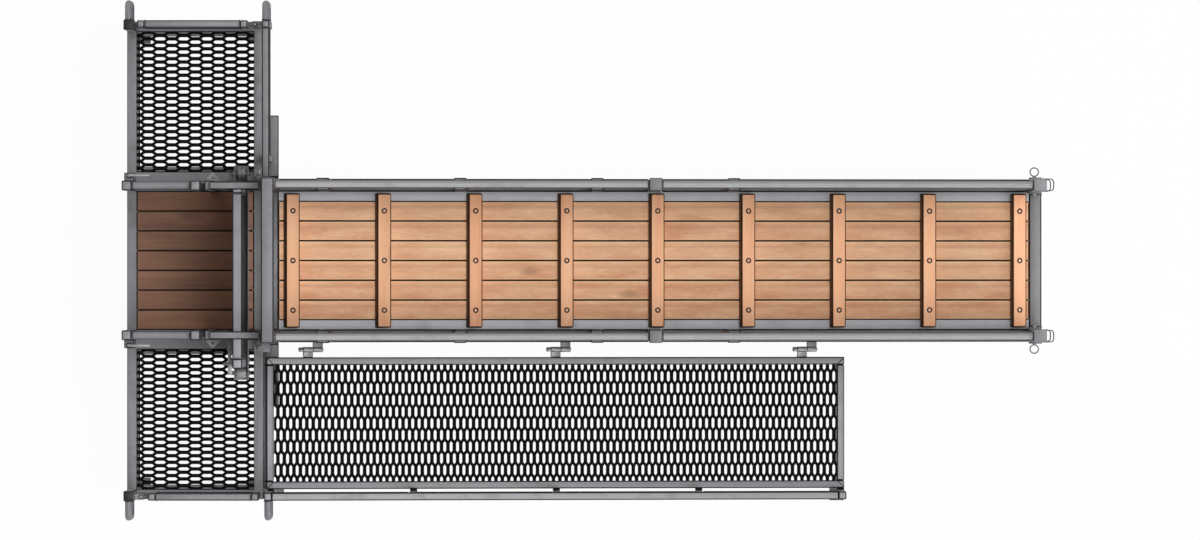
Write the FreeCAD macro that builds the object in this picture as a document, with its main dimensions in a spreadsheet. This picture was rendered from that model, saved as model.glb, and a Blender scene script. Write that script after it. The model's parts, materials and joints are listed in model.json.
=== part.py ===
import FreeCAD, Part
import math
import os
import re
import Sketcher

# Livestock loading ramp: a raised dock with a gated race and side walkways, a sloping timber
# ramp between railed walls, and a hinged catwalk along its near side.
# x runs along the race from the dock down to the entry, y across it, z up from the ground.

os.makedirs("parts", exist_ok=True)
doc = FreeCAD.newDocument("loading_ramp")
Vector = FreeCAD.Vector
Rotation = FreeCAD.Rotation
Placement = FreeCAD.Placement

driving = {
    # whole object
    "dockLength": (700, "dock along the race"),
    "dockWidth": (2450, "dock across the race"),
    "deckHeight": (1170, "top of the dock planks above the ground"),
    "rampGap": (12, "gap between dock and ramp"),
    "rampPlan": (4000, "ramp from arch to entry posts, in plan"),
    "slope": (15, "fall of the ramp, degrees"),
    "raceWidth": (710, "clear width between the walls"),
    "fenceHeight": (1550, "race sides above the floor"),
    "archClear": (1835, "arch beam above the dock"),
    "guardHeight": (1000, "guard rails above the floor"),
    # sections
    "post": (65, "square ramp posts"),
    "beam": (50, "square dock tube"),
    "frameDeep": (75, "depth of the dock frame"),
    "innerBeam": (100, "flat beam under each race fence"),
    "plankThick": (40, "floor planks"),
    "plankGap": (0.6, "gap between planks"),
    "dockPlanks": (7, "planks in the dock race"),
    "rampPlanks": (6, "planks in the ramp floor"),
    "guardTube": (38, "square guard and gate tube, and the round tube of the handles"),
    "ovalWide": (40, "oval cattle rail, width"),
    "ovalTall": (115, "oval cattle rail, height"),
    "footThick": (10, "foot plates"),
    "footWide": (100, "foot plates under the dock legs"),
    "capThick": (5, "plastic post caps"),
    "clearance": (0.3, "gap between seated moving parts"),
    "fit": (0.05, "radial clearance of pins in their bores"),
    # walkway mesh
    "meshThick": (5, "expanded metal"),
    "meshLong": (360.6, "long pitch of the mesh, three times the real one"),
    "meshShort": (102.1, "short pitch of the mesh, three times the real one"),
    "meshStrand": (25, "strand of the mesh, three times the real one"),
    "ledgeWide": (25, "ledge under a mesh edge"),
    # dock legs and ladders
    "tieHeight": (250, "low ties between the legs"),
    "braceWide": (40, "diagonal braces"),
    "rungAcross": (25, "ladder rungs"),
    "rungPitch": (290, "spacing of the ladder rungs"),
    "ladderRungs": (3, "rungs of a ladder"),
    "handleReach": (102, "grab handles beyond the dock"),
    "handleBend": (55, "bend of the grab handles"),
    "handleDrop": (100, "upper end of the grab handles below the top of their posts"),
    "handleLow": (350, "lower end of the grab handles above the floor"),
    "guardOff": (5, "far guard rail off the dock beam"),
    "guardIn": (1, "far guard rail and end gates inside the dock's side"),
    "guardInner": (146, "inner post of the far guard rail, out from the race"),
    "guardReach": (68, "inner end of the far guard rail, out from the race"),
    "guardLug": (40, "lugs of the far guard rail below the deck"),
    # fences and gates of the dock
    "topRail": (40, "flat top rail of a dock fence"),
    "guideGap": (1, "gap between the slide gate's channel and its guides"),
    "guideThick": (8, "flat guide beside the slide gate"),
    "fenceRails": (5, "rails of a dock fence"),
    "wingLength": (399, "wing gate"),
    "wingGap": (22, "gap between wing gate and hinge post"),
    "wingLift": (60, "wing gate above the deck"),
    "hingeOffset": (12, "wing hinge outside the middle of its post"),
    "knuckleAcross": (20, "wing hinge knuckle"),
    "knuckleLong": (40, "wing hinge knuckle length"),
    "knuckleLow": (200, "lower wing hinge above the deck"),
    "knuckleHigh": (1200, "upper wing hinge above the deck"),
    "hingeWeb": (6, "web of a wing hinge knuckle"),
    "wingPin": (12, "wing hinge pin"),
    "boltRod": (16, "drop bolt rod"),
    "boltOut": (77, "drop bolt from the race side of the fence"),
    "boltLong": (900, "drop bolt rod length"),
    "boltLift": (3, "drop bolt tip above the dock at rest"),
    "boltSocket": (60, "depth of the socket under a drop bolt"),
    "socketGap": (2, "gap around a bolt or a pin in its socket"),
    "headRim": (5, "heads and collars beyond their pin or bolt, all round"),
    "boltArm": (110, "arm of a drop bolt"),
    "boltCollar": (70, "drop bolt collar above the lower guide"),
    "boltGuideLow": (300, "lower drop bolt guide above the deck"),
    "boltGuideHigh": (800, "upper drop bolt guide above the deck"),
    "lugLevel": (1100, "lug plates above the deck"),
    "lugLong": (80, "lug plates along the race"),
    "lugDeep": (44, "lug plates out from their posts"),
    "lugBack": (10, "lug plates, depth of the squared end"),
    "lugEdge": (14, "lug plate hole from the post"),
    "lugHole": (15, "lug plate hole"),
    "lugPeak": (35, "outer corner and hole of a lug plate, along the race"),
    "endGateLift": (150, "end gate bottom rail above the deck"),
    "endGateDrop": (31, "end gate top rail below the guard rail"),
    "endGateRun": (600, "end gate from its hinge pin to its tip"),
    "endGateBays": (3, "gaps between an end gate's rails"),
    "gudgeonPin": (16, "end gate hinge pin"),
    "gudgeonReach": (37, "end gate hinge pin from its post"),
    "eyeAcross": (32, "end gate hinge eye"),
    "eyeTall": (30, "end gate hinge eye height"),
    "strapThick": (10, "strap of an end gate hinge eye"),
    "bracketThick": (12, "bracket of an end gate hinge"),
    "gudgeonLow": (200, "lower end gate hinge above the deck"),
    "gudgeonHigh": (750, "upper end gate hinge above the deck"),
    # slide gate
    "gatePlace": (587, "slide gate from the truck end of the dock"),
    "gateThick": (50, "slide gate leaf"),
    "gateFar": (35, "closed slide gate, far end out from the race"),
    "gateNear": (195, "closed slide gate, near end out from the race"),
    "channelWide": (75, "slide gate channel"),
    "channelTall": (65, "slide gate channel height"),
    "channelWall": (5, "slide gate channel wall"),
    "channelFar": (131, "slide gate channel, far end out from the race"),
    "channelNear": (258, "slide gate channel, near end out from the race"),
    "rollerAcross": (46, "support rollers"),
    "rollerLong": (50, "support roller width"),
    "rollerGap": (3, "support rollers above the channel's web"),
    "rollerOuter": (224, "outer support roller, out from the race"),
    "rollerInner": (157, "inner support roller, out from the race"),
    "ropeWheel": (67, "grooved rope wheel"),
    "ropeWheelWide": (36, "grooved rope wheel width"),
    "ropeWheelOut": (90, "grooved rope wheel, out from the race"),
    "wheelGap": (2, "rope wheel above the channel's web"),
    "wheelRim": (5, "rim beside the wheel's groove"),
    "wheelGroove": (11, "depth of the wheel's groove"),
    "axle": (12, "roller and wheel axles"),
    "axleHead": (9, "bolt heads and nuts of the axles"),
    "leafBelow": (13, "slide gate below the top rail"),
    "leafBays": (3, "sheeted bays of the slide gate"),
    "leafRib": (30, "cross ribs of the slide gate"),
    "gripOut": (45, "pull handle out from the leaf"),
    "gripLow": (1000, "pull handle above the deck"),
    "gripLong": (180, "pull handle height"),
    "latchLevel": (850, "latch above the deck"),
    "latchPin": (12, "latch lever pivot"),
    "latchOff": (46, "latch pivot from the leaf's middle"),
    "latchOut": (36, "latch pivot outside the fence"),
    "bracketWide": (32, "latch bracket along the race"),
    "bracketEdge": (19, "latch bracket beyond its pin"),
    "leverWide": (22, "latch lever"),
    "leverLong": (150, "latch lever length"),
    "leverPivot": (137, "latch lever, tip to pivot"),
    "leverNotch": (69, "latch lever, tip to notch"),
    "leverGap": (25, "notch of the latch lever"),
    "notchDeep": (4, "depth of the notch"),
    "keeperDeep": (8, "keeper out from the leaf"),
    "keeperGap": (2.5, "gap at each end of the keeper in the notch"),
    # ramp
    "railDeep": (120, "side rails of the ramp"),
    "railRise": (30, "side rails above the ramp floor"),
    "strip": (50, "steel strip beside the ramp planks"),
    "stripWall": (5, "steel strip thickness"),
    "bearers": (6, "cross bearers under the ramp floor"),
    "bearerTall": (50, "height of the cross bearers"),
    "bearerEnd": (50, "first and last cross bearer from the ends of the floor"),
    "tieGap": (4, "middle tie below the cross bearers"),
    "cleatWide": (75, "cleat along the slope"),
    "cleatTall": (50, "cleat height"),
    "cleatGap": (10, "ends of a cleat from the race sides"),
    "cleatFirst": (26, "first and last cleat from the ends of the floor"),
    "cleats": (9, "number of cleats"),
    "wallRails": (5, "rails of a ramp wall"),
    "wallPostFirst": (209, "first wall post from the arch"),
    "wallPostShare": (0.1802, "spacing of the wall posts, as a share of the floor's run"),
    "wallPostCount": (4, "wall posts of one side"),
    "wallPostsUp": (3, "wall posts of one side above the middle post"),
    "sheetTall": (800, "side sheets"),
    "sheetThick": (3, "side sheets"),
    "capRise": (30, "middle posts above the top rail"),
    "sillTall": (100, "sill under the arch"),
    "pinRise": (52, "entry pins above the ramp floor's end"),
    "pinBack": (38.5, "entry pins from the ramp's end"),
    "armLong": (315, "arms beside the arch"),
    "armTall": (60, "arms beside the arch"),
    "armDrop": (42, "arms below the deck"),
    "strutDrop": (260, "foot of an arm's strut below the arm"),
    "armFlange": (10, "flange of an arm"),
    "cheekThick": (10, "cheek plates of the entry posts"),
    "cheekTall": (170, "cheek plates of the entry posts"),
    "cheekDrop": (75, "cheek plates below the ramp floor's end"),
    "entryPin": (18, "pull pins of the entry posts"),
    "pinTail": (12, "entry pins beyond the inner cheek plates"),
    "entryRing": (43.5, "pull ring of an entry pin, across the middle of its wire"),
    "loopReach": (43, "coupling loops beyond the entry posts"),
    "loopTall": (50, "coupling loops, height"),
    "loopWall": (5, "flat bar of the coupling loops"),
    "loopLow": (420, "lower coupling loops above the ground"),
    "loopHigh": (1350, "upper coupling loops above the ground"),
    "couplingPin": (12, "pins between dock and ramp"),
    "couplingOut": (95, "coupling pins outside the race"),
    "couplingRing": (30, "pull ring of a coupling pin, across the middle of its wire"),
    "ringSet": (10, "ring of a coupling pin from the middle of the pin"),
    "ringWire": (6, "wire of the pull rings"),
    "pinBelow": (20, "coupling pins below the deck"),
    "pinSocket": (30, "depth of the socket under a coupling pin"),
    "lugWide": (50, "coupling lugs across the race"),
    "plateThick": (8, "small plates"),
    # catwalk
    "walkIn": (77, "catwalk frame from the ramp wall"),
    "walkWide": (677, "catwalk frame width"),
    "walkTube": (40, "catwalk frame tube"),
    "walkBack": (64, "catwalk beyond the arch face, along the slope"),
    "walkLong": (3080, "catwalk along the slope"),
    "walkGuardOut": (30, "middle of the catwalk guard outside the frame"),
    "walkGuardTube": (40, "catwalk guard tube"),
    "walkFoot": (75, "catwalk foot plates"),
    "walkPosts": (5, "posts of the catwalk guard"),
    "walkLugDrop": (6, "guard lugs inside the depth of the frame"),
    "hingeOut": (37.5, "catwalk hinge line from the ramp wall"),
    "hingeFirst": (187, "first catwalk hinge along the slope"),
    "hingePitch": (1316, "spacing of the catwalk hinges"),
    "hinges": (3, "number of catwalk hinges"),
    "hingeBarrel": (27, "catwalk hinge barrel"),
    "hingeLong": (52, "catwalk hinge barrel length"),
    "hingePin": (16, "catwalk hinge pin"),
    "hingeHead": (22, "head of a catwalk hinge pin"),
    "hingeTip": (3, "catwalk hinge pins beyond their barrels"),
    "hingeLeaf": (10, "leaf of a catwalk hinge"),
}

sheet = doc.addObject("Spreadsheet::Sheet", "sizes")
for row, (word, (number, note)) in enumerate(driving.items(), start=1):
    sheet.set(f"A{row}", word)
    sheet.set(f"B{row}", str(number))
    sheet.setAlias(f"B{row}", word)
    sheet.set(f"C{row}", note)
doc.recompute()
size = {word: float(sheet.get(word)) for word in driving}

# The few heights and stations that everything else is placed from, as formulas on the sheet.
dockStart = "(-(dockLength + rampGap + rampPlan + loopReach) / 2)"
dockEnd = f"({dockStart} + dockLength)"
rampStart = f"({dockEnd} + rampGap)"
rampEnd = f"({rampStart} + rampPlan)"
floorStart = f"({rampStart} + post)"
floorEnd = f"({rampEnd} - post)"
floorRun = "(rampPlan - 2 * post)"
midStart = f"(({rampStart} + {rampEnd} - post) / 2)"
halfRace = "(raceWidth / 2)"
wallOut = "(raceWidth / 2 + post)"
halfDock = "(dockWidth / 2)"
gateMiddle = f"({dockStart} + gatePlace)"
fenceTop = "(deckHeight + fenceHeight)"
sides = (("far", 1), ("near", -1))
roundSides = 12
ringSides = 16
nodes = {}


def formula(words):
    """The words of a formula with every size read from the sheet."""
    return re.sub(r"[a-z][A-Za-z]*", lambda found: named(found[0]), str(words))


def named(word):
    return "sizes." + word if word in driving else word


def floorAt(station):
    """Height of the ramp's planks at a station along x."""
    return f"(deckHeight - (({station}) - {floorStart}) * tan(slope))"


def across(sign, inner, wide):
    """Low y edge of something that starts inner from the middle and is wide, on either side."""
    return f"({inner})" if sign > 0 else f"(-({inner}) - ({wide}))"


def place(item, x, y, z):
    for axis, words in zip("xyz", (x, y, z)):
        item.setExpression("Placement.Base." + axis, formula(words))
    return item


def turned(item, rotation):
    item.Placement = Placement(Vector(), rotation)
    return item


def block(name, x, y, z, long, wide, tall):
    """Square-edged block from its low corner."""
    item = doc.addObject("Part::Box", name)
    for side, words in zip(("Length", "Width", "Height"), (long, wide, tall)):
        item.setExpression(side, formula(words))
    return place(item, x, y, z)


alongX = Rotation(Vector(0, 1, 0), 90)
alongY = Rotation(Vector(1, 0, 0), -90)
alongZ = Rotation()
downhill = Rotation(Vector(0, 1, 0), 90 + size["slope"])
faceToX = Rotation(Vector(1, 1, 1), 120)
faceToY = Rotation(Vector(1, 0, 0), 90)


def rod(name, way, x, y, z, wide, long):
    """Round bar from the middle of its first end."""
    item = turned(doc.addObject("Part::Cylinder", name), way)
    item.setExpression("Radius", f"({formula(wide)}) / 2")
    item.setExpression("Height", formula(long))
    return place(item, x, y, z)


def prism(name, way, x, y, z, wide, long, count=roundSides):
    """Bar with flat sides from the middle of its first end: a bolt head, or a round drawn plain."""
    item = turned(doc.addObject("Part::Prism", name), way)
    item.Polygon = count
    item.setExpression("Circumradius", f"({formula(wide)}) / 2")
    item.setExpression("Height", formula(long))
    return place(item, x, y, z)


def pullRing(name, x, y, z, wide, wire):
    """Ring of a pull pin that lies level, from the middle of its underside."""
    rim = prism(name + "_rim", alongZ, x, y, z, f"{wide} + {wire}", wire, ringSides)
    eye = prism(name + "_eye", alongZ, x, y, f"{z} - 1", f"{wide} - {wire}", f"{wire} + 2", ringSides)
    return cut(name, rim, [eye])


def extruded(name, profile, rise, run, x, y, z):
    """Profile in the y-z plane pushed along x by run while it rises, so that its ends stay plumb."""
    item = doc.addObject("Part::Extrusion", name)
    item.Base = profile
    item.DirMode = "Custom"
    item.Solid = True
    item.setExpression("Dir.x", formula(f"cos({rise})"))
    item.setExpression("Dir.z", formula(f"sin({rise})"))
    item.setExpression("LengthFwd", formula(f"({run}) / cos({rise})"))
    return place(item, x, y, z)


def slopeBar(name, x, y, z, run, wide, tall):
    """Flat-sided bar that runs down with the ramp, from its low uphill corner, with plumb ends."""
    profile = turned(doc.addObject("Part::Plane", name + "_profile"), faceToX)
    profile.setExpression("Length", formula(wide))
    profile.setExpression("Width", formula(tall))
    return extruded(name, profile, "-slope", run, x, y, z)


def slantBar(name, x, y, z, sideways, rise, wide):
    """Square bar that leans across the race, from its low corner, with plumb ends."""
    profile = turned(doc.addObject("Part::Plane", name + "_profile"), faceToY)
    profile.setExpression("Length", formula(wide))
    profile.setExpression("Width", formula(wide))
    item = doc.addObject("Part::Extrusion", name)
    item.Base = profile
    item.DirMode = "Custom"
    item.Solid = True
    long = formula(f"sqrt(({sideways}) * ({sideways}) + ({rise}) * ({rise}))")
    item.setExpression("Dir.x", "0")
    item.setExpression("Dir.y", f"({formula(sideways)}) / {long}")
    item.setExpression("Dir.z", f"({formula(rise)}) / {long}")
    item.setExpression("LengthFwd", long)
    return place(item, x, y, z)


def limit(sketch, kind, name, words, *ends):
    """Dimension of a sketch, tied to the sheet under its own name."""
    at = sketch.addConstraint(Sketcher.Constraint(kind, *ends))
    sketch.renameConstraint(at, name)
    sketch.setExpression("Constraints." + name, formula(words))


def traced(sketch, points, closed=True):
    """Straight edges through points given from the sketch's zero, each tied to the sheet."""
    total = len(points)
    count = total if closed else total - 1
    guess = [Vector(math.cos(2 * math.pi * k / total), math.sin(2 * math.pi * k / total))
             for k in range(total)]
    edges = [sketch.addGeometry(Part.LineSegment(guess[k], guess[(k + 1) % total]))
             for k in range(count)]
    for k in range(count if closed else count - 1):
        after = edges[(k + 1) % count]
        sketch.addConstraint(Sketcher.Constraint("Coincident", edges[k], 2, after, 1))
    for k, corner in enumerate(points):
        edge, end = (edges[k], 1) if k < count else (edges[-1], 2)
        for kind, zeroLine, words in zip(("DistanceX", "DistanceY"), (-2, -1), corner):
            if words == 0:
                sketch.addConstraint(Sketcher.Constraint("PointOnObject", edge, end, zeroLine))
            else:
                limit(sketch, kind, f"corner{k}{kind[-1]}", words, -1, 1, edge, end, 1)


def ovalProfile(name):
    """Section of an oval cattle rail from its low corner, each half round drawn in four chords."""
    sketch = doc.addObject("Sketcher::SketchObject", name)
    points = []
    for start, level in ((0, "ovalTall - ovalWide / 2"), (180, "ovalWide / 2")):
        for angle in range(start, start + 181, 45):
            side = f"ovalWide / 2 * (1 + cos({angle}))"
            rise = f"{level} + ovalWide / 2 * sin({angle})"
            points.append((0 if angle == 180 else side, 0 if angle == 270 else rise))
    traced(sketch, points)
    return turned(sketch, faceToX)


def plate(name, points, thick, holes=(), way=alongZ):
    """Flat plate as a body: an outline of corners from its own zero corner, with round holes."""
    body = doc.addObject("PartDesign::Body", name)
    origin = [plane for plane in body.Origin.OriginFeatures if plane.Role == "XY_Plane"][0]
    sketch = body.newObject("Sketcher::SketchObject", name + "_outline")
    sketch.AttachmentSupport = [(origin, "")]
    sketch.MapMode = "FlatFace"
    traced(sketch, points)
    for k, (x, y, wide) in enumerate(holes):
        circle = sketch.addGeometry(Part.Circle(Vector(1, 1), Vector(0, 0, 1), 1))
        limit(sketch, "DistanceX", f"hole{k}X", x, -1, 1, circle, 3, 1)
        limit(sketch, "DistanceY", f"hole{k}Y", y, -1, 1, circle, 3, 1)
        limit(sketch, "Radius", f"hole{k}R", f"({wide}) / 2", circle, 1)
    pad = body.newObject("PartDesign::Pad", name + "_pad")
    pad.Profile = sketch
    pad.setExpression("Length", formula(thick))
    return turned(body, way)


def weld(name, items):
    """Pieces welded into one solid."""
    item = doc.addObject("Part::MultiFuse", name)
    item.Shapes = items
    item.Refine = True
    return item


def cut(name, base, tools):
    """Base with the tools taken out of it."""
    item = doc.addObject("Part::Cut", name)
    item.Base = base
    item.Tool = tools[0] if len(tools) == 1 else gather(name + "_tools", tools)
    return item


def gather(name, items):
    """Pieces that stay separate solids."""
    item = doc.addObject("Part::Compound", name)
    item.Links = items
    return item


def node(name, items):
    """Hand-in node: one piece, or a group of like pieces."""
    item = items[0] if len(items) == 1 else gather(name + "_group", items)
    item.Label = name
    nodes[name] = item
    return item


def onSlope(name, items):
    """Group made in the ramp's own frame, x down the slope and z square to the floor."""
    item = gather(name + "_group", items)
    item.Placement = Placement(Vector(), Rotation(Vector(0, 1, 0), size["slope"]))
    item.setExpression("Placement.Rotation.Angle", formula("slope"))
    place(item, floorStart, 0, "deckHeight")
    item.Label = name
    nodes[name] = item
    return item


def heldMesh(name, x, y, z, long, wide, pitchX, pitchY):
    """Sheet of expanded metal: staggered rows of diamond openings inside a plain edge."""
    strand, thick = size["meshStrand"], size["meshThick"]
    columns = max(2, round((long - 2 * strand) / pitchX))
    rows = max(2, 2 * round((wide - 2 * strand) / pitchY))
    halfX = (long - 2 * strand) / columns / 2
    halfY = (wide - 2 * strand) / rows
    slant = math.hypot(halfX, halfY)
    reachX = halfX - strand / 2 * slant / halfY
    reachY = halfY - strand / 2 * slant / halfX
    outline = [Vector(0, 0), Vector(long, 0), Vector(long, wide), Vector(0, wide), Vector(0, 0)]
    face = [Part.makePolygon(outline)]
    for row in range(1, rows):
        middleY = strand + row * halfY
        for column in range(columns if row % 2 else columns - 1):
            middleX = strand + halfX * (2 * column + (1 if row % 2 else 2))
            corners = [
                Vector(middleX + reachX, middleY),
                Vector(middleX, middleY + reachY),
                Vector(middleX - reachX, middleY),
                Vector(middleX, middleY - reachY),
            ]
            face.append(Part.makePolygon(corners + corners[:1]))
    holed = Part.makeFace(face, "Part::FaceMakerBullseye")
    item = doc.addObject("Part::Feature", name)
    item.Shape = holed.extrude(Vector(0, 0, thick))
    return place(item, x, y, z)


# Dock frame: a rectangle of beams with two flat beams under the race fences, bearers under the
# planks and ledges under the walkway mesh. The ends of the fences' bolts and pins drop into it.
frameFoot = "deckHeight - frameDeep"
bayIn = "(raceWidth / 2 + innerBeam)"
bayWide = f"({halfDock} - beam - {bayIn})"
bayLong = "(dockLength - 2 * beam)"
boltPlace = f"({dockStart} + beam / 2)"
couplingPlace = f"({dockEnd} - beam / 2)"
frameBars = [
    block("truck_beam", dockStart, f"-{halfDock}", frameFoot, "beam", "dockWidth", "frameDeep"),
    block("ramp_beam", f"{dockEnd} - beam", f"-{halfDock}", frameFoot, "beam", "dockWidth", "frameDeep"),
]
frameHoles = []
ledgeTop = "deckHeight - meshThick"
for side, sign in sides:
    frameBars += [
        block(f"outer_beam_{side}", f"{dockStart} + beam", across(sign, f"{halfDock} - beam", "beam"),
              frameFoot, bayLong, "beam", "frameDeep"),
        block(f"inner_beam_{side}", f"{dockStart} + beam", across(sign, halfRace, "innerBeam"),
              frameFoot, bayLong, "innerBeam", "frameDeep"),
        block(f"inner_ledge_{side}", f"{dockStart} + beam", across(sign, bayIn, "ledgeWide"),
              f"{ledgeTop} - meshThick", bayLong, "ledgeWide", "meshThick"),
        block(f"outer_ledge_{side}", f"{dockStart} + beam",
              across(sign, f"{halfDock} - beam - ledgeWide", "ledgeWide"),
              f"{ledgeTop} - meshThick", bayLong, "ledgeWide", "meshThick"),
    ]
    boltY = f"({sign} * ({halfRace} + boltOut))"
    couplingY = f"({sign} * ({halfRace} + couplingOut))"
    for name, x, y, wide, deep in (
            ("bolt", boltPlace, boltY, "(boltRod + 2 * socketGap)", "boltSocket"),
            ("pin", couplingPlace, couplingY, "(couplingPin + 2 * socketGap)", "pinSocket")):
        frameHoles.append(block(f"{name}_socket_{side}", f"{x} - {wide} / 2", f"{y} - {wide} / 2",
                                f"deckHeight - {deep}", wide, wide, f"{deep} + 1"))
for part in (1, 3):
    frameBars.append(
        block(f"plank_bearer_{part}", f"{dockStart} + beam + {bayLong} * {part} / 4 - beam / 2",
              f"-{halfRace}", frameFoot, "beam", "raceWidth", "frameDeep - plankThick"))
node("platform_frame", [cut("platform_frame_cut", weld("platform_frame_bars", frameBars), frameHoles)])

# Dock legs, their low ties and the braces of both end faces, on foot plates, with ladder rungs
# between the outer pairs.
legs = []
rungs = []
footPlates = []
legTall = "(deckHeight - frameDeep - footThick)"
outerLeg = f"({halfDock} - beam)"
innerLeg = f"({halfRace} + (innerBeam - beam) / 2)"
tieWide = f"({outerLeg} - {innerLeg} - beam)"
braceRise = f"({frameFoot} - tieHeight - beam - braceWide)"
for side, sign in sides:
    for end, x, footX in (("truck", dockStart, dockStart),
                          ("ramp", f"{dockEnd} - beam", f"{dockEnd} - footWide")):
        for row, inner, footIn in (("outer", outerLeg, f"{halfDock} - footWide"),
                                   ("inner", innerLeg, f"{innerLeg} + (beam - footWide) / 2")):
            legs.append(block(f"leg_{side}_{end}_{row}", x, across(sign, inner, "beam"), "footThick",
                              "beam", "beam", legTall))
            footPlates.append(block(f"foot_{side}_{end}_{row}", footX,
                                    across(sign, footIn, "footWide"), 0,
                                    "footWide", "footWide", "footThick"))
        legs += [
            block(f"cross_tie_{side}_{end}", x, across(sign, f"{innerLeg} + beam", tieWide),
                  "tieHeight", "beam", tieWide, "beam"),
            slantBar(f"brace_{side}_{end}", f"{x} + (beam - braceWide) / 2", f"{sign} * {outerLeg}",
                     "tieHeight + beam", f"-{sign} * {tieWide}", braceRise, "braceWide"),
        ]
    legs.append(block(f"long_tie_{side}", f"{dockStart} + beam", across(sign, innerLeg, "beam"),
                      "tieHeight", bayLong, "beam", "beam"))
    for step in range(1, int(size["ladderRungs"]) + 1):
        rungs.append(prism(f"rung_{side}_{step}", alongX, f"{dockStart} + beam",
                           f"{sign} * ({halfDock} - beam / 2)", f"rungPitch * {step}",
                           "rungAcross", bayLong))
node("dock_legs", legs)
node("ladder_rungs", rungs)

# Dock floor: planks along the race, and expanded metal in both walkways.
dockPitch = "(raceWidth / dockPlanks)"
node("deck_planks", [
    block(f"deck_plank_{k}", f"{dockStart} + beam",
          f"-{halfRace} + {dockPitch} * {k} + plankGap / 2", "deckHeight - plankThick",
          bayLong, f"{dockPitch} - plankGap", "plankThick")
    for k in range(int(size["dockPlanks"]))
])
bayDeep = size["dockWidth"] / 2 - size["beam"] - size["raceWidth"] / 2 - size["innerBeam"]
node("walkway_mesh", [
    heldMesh(f"walkway_mesh_{side}", f"{dockStart} + beam", across(sign, bayIn, bayWide),
             "deckHeight - meshThick", size["dockLength"] - 2 * size["beam"], bayDeep,
             size["meshLong"], size["meshShort"])
    for side, sign in sides
])

# Truck-end corner posts with plastic caps and grab handles.
cornerPosts = []
handles = []
caps = []
handleTop = "(deckHeight + guardHeight - handleDrop)"
handleFoot = "(deckHeight + handleLow)"


def grabHandle(name, x, face, sign, top, foot):
    """Bent tube that leaves a face sideways, turns down and comes back to it lower."""
    reach = "(handleReach - guardTube / 2 - handleBend)"
    upper = []
    lower = []
    for angle in (0, 30, 60, 90):
        out = f"{reach} + handleBend * sin({angle})"
        back = f"handleBend * (1 - cos({angle}))"
        upper.append((out, f"({top} - {foot}) - {back}"))
        lower.insert(0, (out, back if angle else 0))
    path = doc.addObject("Sketcher::SketchObject", name + "_path")
    traced(path, [(0, f"{top} - {foot}")] + upper + lower + [(0, 0)], closed=False)
    section = doc.addObject("Part::RegularPolygon", name + "_section")
    section.Polygon = roundSides
    section.setExpression("Circumradius", formula("guardTube / 2"))
    turned(path, faceToX if sign > 0 else Rotation(Vector(0, 0, 1), 180) * faceToX)
    turned(section, alongY)
    place(path, x, f"{sign} * ({face})", foot)
    place(section, x, f"{sign} * ({face})", top)
    tube = doc.addObject("Part::Sweep", name)
    tube.Sections = [section]
    tube.Spine = (path, [f"Edge{k + 1}" for k in range(len(upper) + len(lower) + 1)])
    tube.Transition = "Right corner"
    tube.Solid = True
    return tube


for side, sign in sides:
    low = across(sign, f"{halfDock} - beam", "beam")
    cornerPosts.append(block(f"corner_post_{side}", dockStart, low, "deckHeight",
                             "beam", "beam", "guardHeight"))
    caps.append(block(f"corner_cap_{side}", dockStart, low, "deckHeight + guardHeight",
                      "beam", "beam", "capThick"))
    handles.append(grabHandle(f"handle_{side}", f"{dockStart} + beam / 2", halfDock, sign,
                              handleTop, handleFoot))
node("corner_posts", cornerPosts)
node("grab_handles", handles)

# Far guard rail of square tube, on lugs outside the ramp-side beam, with its own grab handle.
guardX = f"({dockEnd} + guardOff)"
guardEnd = f"({halfDock} - guardIn - guardTube)"
guardFoot = "(deckHeight - guardLug)"
guardRail = "(deckHeight + guardHeight - guardTube)"
guardPost = f"({halfRace} + guardInner)"
guardStart = f"({halfRace} + guardReach)"
guard = [
    block("guard_end_post", guardX, guardEnd, guardFoot, "guardTube", "guardTube",
          "guardHeight + guardLug"),
    block("guard_inner_post", guardX, guardPost, guardFoot, "guardTube", "guardTube",
          f"{guardRail} - {guardFoot}"),
    block("guard_top_rail", guardX, guardStart, guardRail, "guardTube",
          f"{guardEnd} - {guardStart}", "guardTube"),
    block("guard_middle_rail", guardX, f"{guardPost} + guardTube", "deckHeight + guardHeight / 2",
          "guardTube", f"{guardEnd} - {guardPost} - guardTube", "guardTube"),
]
for row, y in (("end", guardEnd), ("inner", guardPost)):
    guard.append(block(f"guard_lug_{row}", dockEnd, y, guardFoot, "guardOff", "guardTube",
                       "guardLug"))
guard.append(grabHandle("guard_handle", f"{guardX} + guardTube / 2", f"{halfDock} - guardIn", 1,
                        handleTop, handleFoot))
node("far_guard_rail", guard)

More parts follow.
